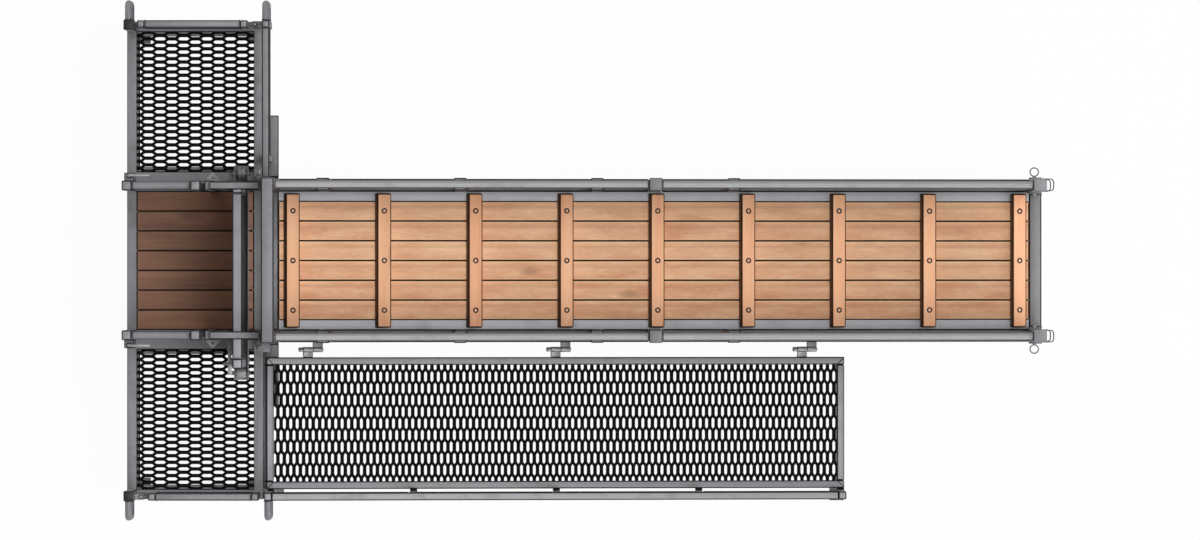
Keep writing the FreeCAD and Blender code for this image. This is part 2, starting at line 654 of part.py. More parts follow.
# Race fences of the dock: on each side a hinge post, guides beside the slide gate, short oval
# rails and a flat top rail that the slide gate passes under.
oval = ovalProfile("oval_rail")
hingePostX = f"({dockStart} + wingLength + wingGap)"
channelHalf = "(channelWide / 2)"
guideX = f"({gateMiddle} - {channelHalf} - guideGap - guideThick)"
endGuideX = f"({gateMiddle} + {channelHalf} + guideGap)"
stubRun = f"({guideX} - {hingePostX} - beam)"
fenceTall = "(fenceHeight - topRail)"
fencePitch = f"({fenceTall} / fenceRails)"
for side, sign in sides:
    low = across(sign, halfRace, "beam")
    railLow = across(sign, f"{halfRace} + (beam - ovalWide) / 2", "ovalWide")
    bars = [
        block(f"hinge_post_{side}", hingePostX, low, "deckHeight", "beam", "beam", fenceTall),
        block(f"guide_{side}", guideX, low, "deckHeight", "guideThick", "beam", fenceTall),
        block(f"end_guide_{side}", endGuideX, low, "deckHeight",
              f"{dockEnd} - beam - {endGuideX}", "beam", fenceTall),
        block(f"end_post_{side}", f"{dockEnd} - beam", low, "deckHeight", "beam", "beam", fenceTall),
        block(f"top_rail_{side}", f"{hingePostX} + beam / 2",
              across(sign, f"{halfRace} + (beam - topRail) / 2", "topRail"),
              f"deckHeight + {fenceTall}", f"{dockEnd} - {hingePostX} - beam / 2", "topRail", "topRail"),
    ]
    for k in range(int(size["fenceRails"])):
        bars.append(extruded(f"stub_rail_{side}_{k}", oval, "0", stubRun, f"{hingePostX} + beam",
                             railLow, f"deckHeight + {fencePitch} * ({k} + 0.5) - ovalTall / 2"))
    node(f"gate_frame_{side}", bars)

# Wing gates at the truck end. Each hangs on two knuckle pairs; the lower knuckle and its pin
# belong to the hinge post, and the gate's knuckle turns on the pin. The drop bolt runs in two
# guides with square holes and drops into a socket in the truck-side beam.
wingTall = "(fenceHeight - 2 * wingLift)"
wingFoot = "(deckHeight + wingLift)"
wingAxisX = f"({dockStart} + wingLength + wingGap / 2)"
knuckleLevels = ("knuckleLow", "knuckleHigh")
guideLevels = ("boltGuideLow", "boltGuideHigh")
boltHole = "(boltRod + 2 * clearance)"
fixedHinges = []
for side, sign in sides:
    low = across(sign, halfRace, "beam")
    railLow = across(sign, f"{halfRace} + (beam - ovalWide) / 2", "ovalWide")
    axisY = f"({sign} * ({halfRace} + beam / 2 + hingeOffset))"
    wing = [
        block(f"wing_end_{side}", dockStart, low, wingFoot, "beam", "beam", wingTall),
        block(f"wing_hinge_stile_{side}", f"{dockStart} + wingLength - beam", low, wingFoot,
              "beam", "beam", wingTall),
    ]
    for k in range(int(size["fenceRails"])):
        wing.append(extruded(f"wing_rail_{side}_{k}", oval, "0", "wingLength - 2 * beam",
                             f"{dockStart} + beam", railLow,
                             f"{wingFoot} + {wingTall} * ({k} + 0.5) / fenceRails - ovalTall / 2"))
    for k, level in enumerate(knuckleLevels):
        z = f"(deckHeight + {level})"
        webY = f"{axisY} - hingeWeb / 2"
        fixedHinges.append(weld(f"fixed_knuckle_{side}_{k}", [
            prism(f"fixed_barrel_{side}_{k}", alongZ, wingAxisX, axisY, z, "knuckleAcross",
                  "knuckleLong"),
            block(f"fixed_web_{side}_{k}", wingAxisX, webY, z, "wingGap / 2", "hingeWeb",
                  "knuckleLong"),
            rod(f"fixed_pin_{side}_{k}", alongZ, wingAxisX, axisY, z, "wingPin",
                "2 * knuckleLong + wingPin / 2"),
        ]))
        upper = f"{z} + knuckleLong + clearance"
        wing.append(cut(f"gate_knuckle_{side}_{k}", weld(f"gate_knuckle_body_{side}_{k}", [
            prism(f"gate_barrel_{side}_{k}", alongZ, wingAxisX, axisY, upper, "knuckleAcross",
                  "knuckleLong"),
            block(f"gate_web_{side}_{k}", f"{wingAxisX} - wingGap / 2", webY, upper,
                  "wingGap / 2", "hingeWeb", "knuckleLong"),
        ]), [rod(f"gate_bore_{side}_{k}", alongZ, wingAxisX, axisY, z, "wingPin + 2 * fit",
                 "3 * knuckleLong")]))
    boltY = f"({sign} * ({halfRace} + boltOut))"
    guideWide = "(boltOut - beam + boltRod)"
    for k, level in enumerate(guideLevels):
        z = f"deckHeight + {level}"
        guide = block(f"bolt_guide_plate_{side}_{k}", dockStart,
                      across(sign, f"{halfRace} + beam", guideWide), z, "beam", guideWide, "plateThick")
        wing.append(cut(f"bolt_guide_{side}_{k}", guide, [
            block(f"bolt_guide_hole_{side}_{k}", f"{boltPlace} - {boltHole} / 2",
                  f"{boltY} - {boltHole} / 2", f"{z} - 1", boltHole, boltHole, "plateThick + 2")]))
    node(f"wing_gate_{side}", wing)
    tip = "(deckHeight + boltLift)"
    node(f"drop_bolt_{side}", [weld(f"drop_bolt_weld_{side}", [
        prism(f"bolt_rod_{side}", alongZ, boltPlace, boltY, tip, "boltRod", "boltLong"),
        prism(f"bolt_arm_{side}", alongX, boltPlace, boltY, f"{tip} + boltLong - boltRod / 2",
              "boltRod", "boltArm"),
        prism(f"bolt_collar_{side}", alongZ, boltPlace, boltY, "deckHeight + boltGuideLow + boltCollar",
              "boltRod + 2 * headRim", "plateThick"),
    ])])
node("wing_hinges", fixedHinges)

# Lug plates on the outer faces of the hinge posts: a corner plate with one slanted edge.
lugs = []
for side, sign in sides:
    if sign > 0:
        corners = [(0, 0), ("lugLong", 0), ("lugPeak", "lugDeep"), (0, "lugBack")]
        hole = ("lugPeak", "lugEdge", "lugHole")
    else:
        corners = [(0, "lugDeep"), (0, "lugDeep - lugBack"), ("lugPeak", 0),
                   ("lugLong", "lugDeep")]
        hole = ("lugPeak", "lugDeep - lugEdge", "lugHole")
    lug = plate(f"lug_{side}", corners, "plateThick", [hole])
    lugs.append(place(lug, hingePostX, across(sign, f"{halfRace} + beam", "lugDeep"),
                      "deckHeight + lugLevel"))
node("lug_plates", lugs)

# End gates of the walkways: square tube frames with two middle rails, hung on pins that stand on
# brackets welded to the posts.
gateLow = "(deckHeight + endGateLift)"
gateTall = "(guardHeight - endGateLift - endGateDrop)"
pivots = {
    "far": (f"({guardX} - gudgeonReach)", 1, -1),
    "near": (f"({dockStart} + beam + gudgeonReach)", -1, 1),
}


def ahead(pivotX, forward, offset, long):
    """Low x edge of something that starts offset from a pivot and is long, either way."""
    return f"({pivotX} + ({offset}))" if forward > 0 else f"({pivotX} - ({offset}) - ({long}))"


gudgeons = []
for side, (pivotX, sign, forward) in pivots.items():
    low = across(sign, f"{halfDock} - guardIn - guardTube", "guardTube")
    middleY = f"({sign} * ({halfDock} - guardIn - guardTube / 2))"
    railLong = "(endGateRun - gudgeonReach - 2 * guardTube)"
    railX = ahead(pivotX, forward, "gudgeonReach + guardTube", railLong)
    frame = [
        block(f"end_stile_{side}", ahead(pivotX, forward, "gudgeonReach", "guardTube"), low,
              gateLow, "guardTube", "guardTube", gateTall),
        block(f"end_tip_{side}", ahead(pivotX, forward, "endGateRun - guardTube", "guardTube"), low,
              gateLow, "guardTube", "guardTube", gateTall),
        block(f"end_foot_{side}", railX, low, gateLow, railLong, "guardTube", "guardTube"),
        block(f"end_top_{side}", railX, low, f"{gateLow} + {gateTall} - guardTube", railLong,
              "guardTube", "guardTube"),
    ]
    for k in range(1, int(size["endGateBays"])):
        frame.append(block(f"end_middle_{side}_{k}", railX, f"{middleY} - rungAcross / 2",
                           f"{gateLow} + {gateTall} * {k} / endGateBays", railLong, "rungAcross", "rungAcross"))
    for k, level in enumerate(("gudgeonLow", "gudgeonHigh")):
        z = f"(deckHeight + {level})"
        eye = f"({z} + bracketThick + clearance)"
        frame.append(cut(f"end_eye_{side}_{k}", weld(f"end_eye_body_{side}_{k}", [
            prism(f"end_barrel_{side}_{k}", alongZ, pivotX, middleY, eye, "eyeAcross", "eyeTall"),
            block(f"end_strap_{side}_{k}", ahead(pivotX, forward, 0, "gudgeonReach"),
                  f"{middleY} - strapThick / 2", eye, "gudgeonReach", "strapThick", "eyeTall"),
        ]), [rod(f"end_bore_{side}_{k}", alongZ, pivotX, middleY, z, "gudgeonPin + 2 * fit",
                 "3 * eyeTall")]))
        bracketRun = "(gudgeonReach + eyeAcross / 2)"
        gudgeons += [
            block(f"bracket_{side}_{k}",
                  ahead(pivotX, -forward, "-eyeAcross / 2", bracketRun),
                  f"{middleY} - eyeAcross / 2", z, bracketRun, "eyeAcross", "bracketThick"),
            rod(f"gudgeon_pin_{side}_{k}", alongZ, pivotX, middleY, f"{z} + bracketThick",
                "gudgeonPin", "eyeTall + gudgeonPin / 2"),
        ]
    node(f"end_gate_{side}", frame)
node("end_gate_gudgeons", gudgeons)

# Slide gate: a channel across the dock floor carries two support rollers outside the near fence
# and a grooved rope wheel outside the far one. The leaf rolls on the rollers.
channelX = f"({gateMiddle} - {channelHalf})"
channelStart = f"(-({halfRace} + channelNear))"
channelLong = "(raceWidth + channelFar + channelNear)"
rollerLevel = "(deckHeight + channelWall + rollerGap + rollerAcross / 2)"
wheelLevel = "(deckHeight + channelWall + wheelGap + ropeWheel / 2)"
wheelY = f"({halfRace} + ropeWheelOut)"
rollerY = {"outer": f"(-({halfRace} + rollerOuter))", "inner": f"(-({halfRace} + rollerInner))"}
stations = [(wheelY, wheelLevel)] + [(y, rollerLevel) for y in rollerY.values()]
channelTools = [block("channel_hollow", f"{channelX} + channelWall", f"{channelStart} - 1",
                      "deckHeight + channelWall", "channelWide - 2 * channelWall",
                      f"{channelLong} + 2", "channelTall")]
axles = []
headFoot = f"({channelX} - axleHead)"
nutFoot = f"({gateMiddle} + {channelHalf} + clearance / 2)"
for k, (y, z) in enumerate(stations):
    channelTools.append(rod(f"channel_bore_{k}", alongX, f"{gateMiddle} - channelWide", y, z,
                            "axle + 2 * fit", "2 * channelWide"))
    axles += [
        rod(f"axle_shank_{k}", alongX, f"{channelX} - clearance / 2", y, z, "axle",
            "channelWide + clearance"),
        prism(f"axle_head_{k}", alongX, headFoot, y, z, "axle + 2 * headRim", "axleHead - clearance / 2", 6),
        prism(f"axle_nut_{k}", alongX, nutFoot, y, z, "axle + 2 * headRim", "axleHead - clearance", 6),
    ]
node("slide_gate_channel", [cut("channel_shape", block(
    "channel_block", channelX, channelStart, "deckHeight", "channelWide", channelLong,
    "channelTall"), channelTools)])
node("roller_axles", axles)
for name, y in rollerY.items():
    node(f"support_roller_{name}", [cut(
        f"roller_{name}", rod(f"roller_body_{name}", alongX, f"{gateMiddle} - rollerLong / 2", y,
                              rollerLevel, "rollerAcross", "rollerLong"),
        [rod(f"roller_bore_{name}", alongX, f"{gateMiddle} - rollerLong", y, rollerLevel,
             "axle + 2 * fit", "2 * rollerLong")])])


def taper(name, x, wide, narrow, long):
    """Coned half of the wheel's groove, from a first width to a second along the axle."""
    item = turned(doc.addObject("Part::Cone", name), alongX)
    item.setExpression("Radius1", f"({formula(wide)}) / 2")
    item.setExpression("Radius2", f"({formula(narrow)}) / 2")
    item.setExpression("Height", formula(long))
    return place(item, x, wheelY, wheelLevel)


rimStart = f"({gateMiddle} - ropeWheelWide / 2)"
halfGroove = "(ropeWheelWide / 2 - wheelRim)"
grooveFoot = "(ropeWheel - 2 * wheelGroove)"
node("rope_wheel", [cut("rope_wheel_cut", weld("rope_wheel_body", [
    rod("wheel_rim_low", alongX, rimStart, wheelY, wheelLevel, "ropeWheel", "wheelRim"),
    taper("wheel_cone_low", f"{rimStart} + wheelRim", "ropeWheel", grooveFoot, halfGroove),
    taper("wheel_cone_high", gateMiddle, grooveFoot, "ropeWheel", halfGroove),
    rod("wheel_rim_high", alongX, f"{gateMiddle} + {halfGroove}", wheelY, wheelLevel, "ropeWheel",
        "wheelRim"),
]), [rod("rope_wheel_bore", alongX, f"{gateMiddle} - ropeWheelWide", wheelY, wheelLevel,
         "axle + 2 * fit", "2 * ropeWheelWide")])])

leafFoot = f"({rollerLevel} + rollerAcross / 2 + clearance)"
leafHead = f"(deckHeight + {fenceTall} - leafBelow)"
leafTall = f"({leafHead} - {leafFoot})"
leafX = f"({gateMiddle} - gateThick / 2)"
leafStart = f"(-({halfRace} + gateNear))"
leafIn = "(raceWidth + gateFar + gateNear - 2 * beam)"
panelStart = f"({leafStart} + beam)"
bayTall = f"(({leafTall} - 2 * beam - (leafBays - 1) * leafRib) / leafBays)"
leaf = []
for name, y in (("far", f"{panelStart} + {leafIn}"), ("near", leafStart)):
    leaf.append(block(f"leaf_stile_{name}", leafX, y, leafFoot, "gateThick", "beam", leafTall))
for name, z in (("foot", leafFoot), ("top", f"{leafHead} - beam")):
    leaf.append(block(f"leaf_{name}", leafX, panelStart, z, "gateThick", leafIn, "beam"))
panels = []
for k in range(int(size["leafBays"])):
    z = f"({leafFoot} + beam + ({bayTall} + leafRib) * {k})"
    if k:
        leaf.append(block(f"leaf_rib_{k}", leafX, panelStart, f"{z} - leafRib", "gateThick",
                          leafIn, "leafRib"))
    panels.append(block(f"leaf_sheet_{k}", f"{gateMiddle} - sheetThick / 2", panelStart, z,
                        "sheetThick", leafIn, bayTall))
gripY = f"({leafStart} + beam / 2)"
gripX = f"({leafX} - gripOut)"
node("slide_gate_handle", [weld("slide_gate_handle_weld", [
    prism("grip_bar", alongZ, gripX, gripY, "deckHeight + gripLow - boltRod / 2", "boltRod",
          "gripLong + boltRod"),
    prism("grip_low", alongX, gripX, gripY, "deckHeight + gripLow", "boltRod", "gripOut"),
    prism("grip_high", alongX, gripX, gripY, "deckHeight + gripLow + gripLong", "boltRod", "gripOut"),
])])

# Latch lever on a bracket of the near fence. The keeper of the leaf stands in the lever's notch,
# clear of it while the latch is off, and the lever swings against the leaf to hold it.
latchX = f"({gateMiddle} - latchOff)"
latchY = f"(-({halfRace} + beam + latchOut))"
latchFoot = "(deckHeight + latchLevel)"
bracketX = f"({latchX} - bracketWide / 2)"
bracketY = f"({latchY} - bracketEdge)"
bracketLong = "(latchOut + bracketEdge)"
leverX = f"({latchX} - leverWide / 2)"
leverY = f"({latchY} - leverPivot)"
pinHole = "latchPin + 2 * fit"
node("latch_bracket", [place(
    plate("latch_bracket_plate", [(0, 0), ("bracketWide", 0), ("bracketWide", bracketLong),
                                  (0, bracketLong)],
          "plateThick", [("bracketWide / 2", "bracketEdge", pinHole)]),
    bracketX, bracketY, f"{latchFoot} - plateThick - clearance")])
node("latch_pivot", [
    rod("latch_pin", alongZ, latchX, latchY, f"{latchFoot} - plateThick - 2 * clearance",
        "latchPin", "2 * plateThick + 3 * clearance"),
    prism("latch_pin_head", alongZ, latchX, latchY, f"{latchFoot} + plateThick + clearance",
          "latchPin + 2 * headRim", "axleHead", 6),
    prism("latch_pin_foot", alongZ, latchX, latchY,
          f"{latchFoot} - plateThick - 2 * clearance - axleHead", "latchPin + 2 * headRim", "axleHead", 6),
])
notchHigh = "(leverNotch + leverGap)"
node("latch_lever", [place(
    plate("latch_lever_plate", [
        (0, 0), ("leverWide", 0), ("leverWide", "leverNotch"), ("leverWide - notchDeep", "leverNotch"),
        ("leverWide - notchDeep", notchHigh), ("leverWide", notchHigh), ("leverWide", "leverLong"),
        (0, "leverLong")],
        "plateThick", [("leverWide / 2", "leverPivot", pinHole)]),
    leverX, leverY, latchFoot)])
leaf.append(block("leaf_keeper", f"{leafX} - keeperDeep", f"{leverY} + leverNotch + keeperGap",
                  f"{latchFoot} - plateThick", "keeperDeep", "leverGap - 2 * keeperGap",
                  "3 * plateThick"))
node("slide_gate_frame", leaf)
node("slide_gate_sheets", panels)


# Arch, middle posts and entry posts of the ramp, each pair joined across under the floor.
archTall = "(deckHeight + archClear - footThick)"
archBars = []
middleBars = []
entryPosts = []
rampFeet = []
endLevel = floorAt(floorEnd)
midTieTop = f"({floorAt(f'{midStart} + post')} - plankThick - bearerTall - tieGap)"
pinLevel = f"({endLevel} + pinRise)"
pinX = f"({rampEnd} - pinBack)"
cheeks = []
loops = []
for side, sign in sides:
    low = across(sign, halfRace, "post")
    archBars.append(block(f"arch_post_{side}", rampStart, low, "footThick", "post", "post", archTall))
    middleBars.append(block(f"middle_post_{side}", midStart, low, "footThick", "post", "post",
                            f"{floorAt(midStart)} + fenceHeight + capRise - footThick"))
    caps.append(block(f"middle_cap_{side}", midStart, low,
                      f"{floorAt(midStart)} + fenceHeight + capRise", "post", "post", "capThick"))
    entryPosts.append(cut(f"entry_post_{side}", block(
        f"entry_post_tube_{side}", floorEnd, low, "footThick", "post", "post",
        f"{endLevel} + fenceHeight + capRise - footThick"), [
            rod(f"entry_bore_{side}", alongY, pinX, across(sign, f"{halfRace} - post", "3 * post"),
                pinLevel, "entryPin + 2 * fit", "3 * post")]))
    for name, inner in (("inner", f"{halfRace} - cheekThick"), ("outer", wallOut)):
        bore = rod(f"cheek_bore_{side}_{name}", alongY, pinX,
                   across(sign, f"{inner} - cheekThick", "3 * cheekThick"), pinLevel,
                   "entryPin + 2 * fit", "3 * cheekThick")
        cheeks.append(cut(f"cheek_{side}_{name}", block(
            f"cheek_plate_{side}_{name}", floorEnd, across(sign, inner, "cheekThick"),
            f"{endLevel} - cheekDrop", "post", "cheekThick", "cheekTall"), [bore]))
    for x in (rampStart, midStart, floorEnd):
        rampFeet.append(block(f"ramp_foot_{side}_{len(rampFeet)}", x, low, 0, "post", "post",
                              "footThick"))
    for k, level in enumerate(("loopLow", "loopHigh")):
        loops.append(cut(f"loop_{side}_{k}", block(
            f"loop_strap_{side}_{k}", rampEnd, low, level, "loopReach", "post", "loopTall"),
            [block(f"loop_hollow_{side}_{k}", f"{rampEnd} - 1",
                   across(sign, f"{halfRace} + loopWall", "post - 2 * loopWall"), f"{level} - 1",
                   "loopReach - loopWall + 1", "post - 2 * loopWall", "loopTall + 2")]))
archBars += [
    block("arch_beam", rampStart, f"-{wallOut}", "deckHeight + archClear", "post",
          "raceWidth + 2 * post", "post"),
    block("arch_sill", rampStart, f"-{halfRace}", "deckHeight - sillTall", "post", "raceWidth",
          "sillTall"),
]
middleBars.append(block("middle_tie", midStart, f"-{halfRace}", f"{midTieTop} - beam", "post",
                        "raceWidth", "beam"))
endTie = block("entry_tie", floorEnd, f"-({halfRace} - cheekThick)", f"{endLevel} - post", "post",
               "raceWidth - 2 * cheekThick", "post - loopWall")
node("portal_arch", archBars)
node("middle_frame", middleBars)
node("entry_frame", entryPosts + [endTie])
node("cheek_plates", cheeks)
node("coupling_loops", loops)
node("post_caps", caps)
node("foot_plates", footPlates + rampFeet)

# Ramp side rails, floor bearers, steel side strips, planks and cleats.
sideRails = []
strips = []
railFoot = "(railDeep - railRise)"
stripWeb = "(plankThick - stripWall)"
segments = ((floorStart, f"({midStart} - {floorStart})"),
            (f"({midStart} + post)", f"({floorEnd} - {midStart} - post)"))
for side, sign in sides:
    for k, (x, run) in enumerate(segments):
        sideRails.append(slopeBar(f"side_rail_{side}_{k}", x, across(sign, halfRace, "post"),
                                  f"{floorAt(x)} - {railFoot}", run, "post", "railDeep"))
    strips += [
        slopeBar(f"strip_top_{side}", floorStart, across(sign, f"{halfRace} - strip", "strip"),
                 "deckHeight - stripWall", floorRun, "strip", "stripWall"),
        slopeBar(f"strip_web_{side}", floorStart, across(sign, f"{halfRace} - stripWall", "stripWall"),
                 "deckHeight - plankThick", floorRun, "stripWall", stripWeb),
    ]
node("ramp_side_rails", sideRails)
node("floor_strips", strips)
plankPitch = "((raceWidth - 2 * strip) / rampPlanks)"
node("ramp_planks", [
    slopeBar(f"ramp_plank_{k}", floorStart,
             f"-{halfRace} + strip + {plankPitch} * {k} + plankGap / 2",
             "deckHeight - plankThick", floorRun, f"{plankPitch} - plankGap", "plankThick")
    for k in range(int(size["rampPlanks"]))
])
bearerPitch = f"(({floorRun} - beam - 2 * bearerEnd) / (bearers - 1))"
bearerBars = []
for k in range(int(size["bearers"])):
    x = f"({floorStart} + bearerEnd + {bearerPitch} * {k})"
    bearerBars.append(slopeBar(f"bearer_{k}", x, f"-{halfRace}",
                               f"{floorAt(x)} - plankThick - bearerTall", "beam", "raceWidth",
                               "bearerTall"))
node("floor_bearers", bearerBars)
cleatPitch = f"(({floorRun} / cos(slope) - 2 * cleatFirst - cleatWide) / (cleats - 1))"
onSlope("ramp_cleats", [
    block(f"cleat_{k}", f"cleatFirst + {cleatPitch} * {k}", f"-({halfRace} - cleatGap)", 0,
          "cleatWide", "raceWidth - 2 * cleatGap", "cleatTall")
    for k in range(int(size["cleats"]))
])

# Ramp walls: posts between the side rail and the top rail, oval cattle rails from post to post,
# and sheets fixed outside the lower rails.
wallPosts = []
postStations = [f"({floorStart} + wallPostFirst + wallPostShare * {floorRun} * {k})"
                for k in range(int(size["wallPostCount"]))]
above = int(size["wallPostsUp"])
stops = [floorStart] + [word for x in (postStations[:above] + [midStart] + postStations[above:])
                        for word in (x, f"({x} + post)")] + [floorEnd]
bays = list(zip(stops[0::2], stops[1::2]))
wallPitch = "((fenceHeight - ovalTall / 2 - railRise) / wallRails)"
sheetIn = f"({halfRace} + post / 2 + ovalWide / 2 + clearance)"
for side, sign in sides:
    railLow = across(sign, f"{halfRace} + (post - ovalWide) / 2", "ovalWide")
    rails = []
    sheets = []
    for k, x in enumerate(postStations):
        wallPosts.append(slopeBar(f"wall_post_{side}_{k}", x, across(sign, halfRace, "post"),
                                  f"{floorAt(x)} + railRise", "post", "post",
                                  "fenceHeight - ovalTall - railRise"))
    for k, (x, run) in enumerate(segments):
        rails.append(extruded(f"top_oval_{side}_{k}", oval, "-slope", run, x, railLow,
                              f"{floorAt(x)} + fenceHeight - ovalTall"))
    for bay, (x, stop) in enumerate(bays):
        run = f"({stop} - {x})"
        for k in range(1, int(size["wallRails"])):
            rails.append(extruded(f"oval_{side}_{bay}_{k}", oval, "-slope", run, x, railLow,
                                  f"{floorAt(x)} + railRise + {wallPitch} * {k} - ovalTall / 2"))
        sheets.append(slopeBar(f"sheet_{side}_{bay}", x, across(sign, sheetIn, "sheetThick"),
                               f"{floorAt(x)} + railRise", run, "sheetThick", "sheetTall"))
    node(f"wall_rails_{side}", rails)
    node(f"side_sheets_{side}", sheets)
node("wall_posts", wallPosts)

# Arms beside the arch: the near one carries the top of the catwalk.
armTop = "(deckHeight - armDrop)"
arms = []
for side, sign in sides:
    inner = f"({wallOut} + armFlange)"
    arms.append(weld(f"arm_{side}", [
        block(f"arm_bar_{side}", rampStart, across(sign, inner, "armLong"), f"{armTop} - armTall",
              "post", "armLong", "armTall"),
        block(f"arm_flange_{side}", rampStart, across(sign, wallOut, "armFlange"),
              f"{armTop} - armTall - braceWide", "post", "armFlange", "armTall + 2 * braceWide"),
        slantBar(f"arm_strut_{side}", f"{rampStart} + (post - braceWide) / 2",
                 f"{sign} * {wallOut}", f"{armTop} - armTall - strutDrop",
                 f"{sign} * (armLong - braceWide)", "strutDrop - braceWide / 2", "braceWide"),
    ]))
node("outrigger_arms", arms)

# Coupling between dock and ramp: plates on the ramp-side beam, lugs on the arch and a pull pin
# through both on each side.
plates = []
lugTop = "(deckHeight + 2 * plateThick)"
hole = "couplingPin + 2 * fit"
for side, sign in sides:
    couplingY = f"({sign} * ({halfRace} + couplingOut))"
    low = across(sign, f"{halfRace} + beam", "post")
    plates.append(cut(f"dock_plate_{side}", block(
        f"dock_plate_block_{side}", f"{dockEnd} - beam", low, "deckHeight", "beam", "post",
        "plateThick"),
        [rod(f"dock_plate_bore_{side}", alongZ, couplingPlace, couplingY, "deckHeight - 1", hole,
             "3 * plateThick")]))
    low = across(sign, wallOut, "lugWide")
    plates.append(cut(f"arch_lug_{side}", block(
        f"arch_lug_block_{side}", f"{dockEnd} - beam", low, "deckHeight + plateThick",
        "beam + rampGap + post / 3", "lugWide", "plateThick"),
        [rod(f"arch_lug_bore_{side}", alongZ, couplingPlace, couplingY, "deckHeight", hole,
             "5 * plateThick")]))
    headFoot = f"({lugTop} + clearance)"
    node(f"coupling_pin_{side}", [weld(f"coupling_pin_weld_{side}", [
        rod(f"coupling_shank_{side}", alongZ, couplingPlace, couplingY, "deckHeight - pinBelow",
            "couplingPin", "pinBelow + 3 * plateThick"),
        prism(f"coupling_head_{side}", alongZ, couplingPlace, couplingY, headFoot,
              "couplingPin + 2 * headRim", "plateThick"),
        pullRing(f"coupling_ring_{side}", couplingPlace,
                 f"{couplingY} - {sign} * (couplingRing / 2 + ringSet)", f"{headFoot} + 1",
                 "couplingRing", "ringWire"),
    ])])
node("coupling_plates", plates)
pinOut = f"({wallOut} + cheekThick)"
pinReach = "(2 * cheekThick + post + pinTail)"
for side, sign in sides:
    node(f"entry_pin_{side}", [weld(f"entry_pin_weld_{side}", [
        rod(f"entry_shank_{side}", alongY, pinX,
            across(sign, f"{pinOut} - {pinReach}", f"{pinReach} + ringWire"), pinLevel, "entryPin",
            f"{pinReach} + ringWire"),
        prism(f"entry_collar_{side}", alongY, pinX, across(sign, f"{pinOut} + clearance", "plateThick"),
              pinLevel, "entryPin + 2 * headRim", "plateThick"),
        pullRing(f"entry_ring_{side}", pinX, f"{sign} * ({pinOut} + entryRing / 2 + ringWire)",
                 f"{pinLevel} - ringWire / 2", "entryRing", "ringWire"),
    ])])

# Catwalk beside the ramp: a tube frame with expanded metal, hung on three barrel hinges along
# the ramp's near side rail. It folds up about the pins.
walkInner = f"({wallOut} + walkIn)"
walkY = f"(-({walkInner} + walkWide))"
innerWide = "(walkWide - 2 * walkTube)"
walkStart = "(-walkBack)"
walkBars = [
    block("walk_side_in", walkStart, f"-({walkInner} + walkTube)", "-walkTube", "walkLong", "walkTube",
          "walkTube"),
    block("walk_side_out", walkStart, walkY, "-walkTube", "walkLong", "walkTube", "walkTube"),
    block("walk_end_top", walkStart, f"{walkY} + walkTube", "-walkTube", "walkTube", innerWide,
          "walkTube"),
    block("walk_end_low", "walkLong - walkBack - walkTube", f"{walkY} + walkTube", "-walkTube",
          "walkTube", innerWide, "walkTube"),
]
onSlope("catwalk_frame", walkBars)
onSlope("catwalk_mesh", [
    heldMesh("catwalk_mesh_sheet", f"{walkStart} + walkTube", f"{walkY} + walkTube", "-meshThick",
             size["walkLong"] - 2 * size["walkTube"], size["walkWide"] - 2 * size["walkTube"],
             size["meshShort"], size["meshLong"])
])
rampBarrels = []
walkBarrels = []
pins = []
hingeY = f"(-({wallOut} + hingeOut))"
barrelZ = "(-walkTube / 2)"
bore = "hingePin + 2 * fit"
for k in range(int(size["hinges"])):
    x = f"(hingeFirst + hingePitch * {k})"
    walkBarrels.append(cut(f"walk_barrel_{k}", weld(f"walk_barrel_weld_{k}", [
        prism(f"walk_tube_{k}", alongX, f"{x} - hingeLong", hingeY, barrelZ, "hingeBarrel",
              "hingeLong - clearance"),
        block(f"walk_leaf_{k}", f"{x} - hingeLong", f"-{walkInner}", f"{barrelZ} - hingeLeaf / 2",
              "hingeLong - clearance", "walkIn - hingeOut", "hingeLeaf"),
    ]), [rod(f"walk_bore_{k}", alongX, f"{x} - 2 * hingeLong", hingeY, barrelZ, bore,
             "3 * hingeLong")]))
    rampBarrels.append(cut(f"ramp_barrel_{k}", weld(f"ramp_barrel_weld_{k}", [
        prism(f"ramp_tube_{k}", alongX, x, hingeY, barrelZ, "hingeBarrel", "hingeLong"),
        block(f"ramp_leaf_{k}", x, hingeY, f"{barrelZ} - hingeLeaf / 2", "hingeLong", "hingeOut",
              "hingeLeaf"),
    ]), [rod(f"ramp_bore_{k}", alongX, f"{x} - hingeLong", hingeY, barrelZ, bore,
             "3 * hingeLong")]))
    pins += [
        rod(f"hinge_shank_{k}", alongX, f"{x} - hingeLong - clearance", hingeY, barrelZ,
            "hingePin", "2 * hingeLong + clearance + hingeTip"),
        prism(f"hinge_head_{k}", alongX, f"{x} - hingeLong - clearance - hingeHead", hingeY,
              barrelZ, "hingePin + 2 * headRim", "hingeHead", 6),
    ]
onSlope("catwalk_barrels", walkBarrels)
onSlope("ramp_barrels", rampBarrels)
onSlope("hinge_pins", pins)

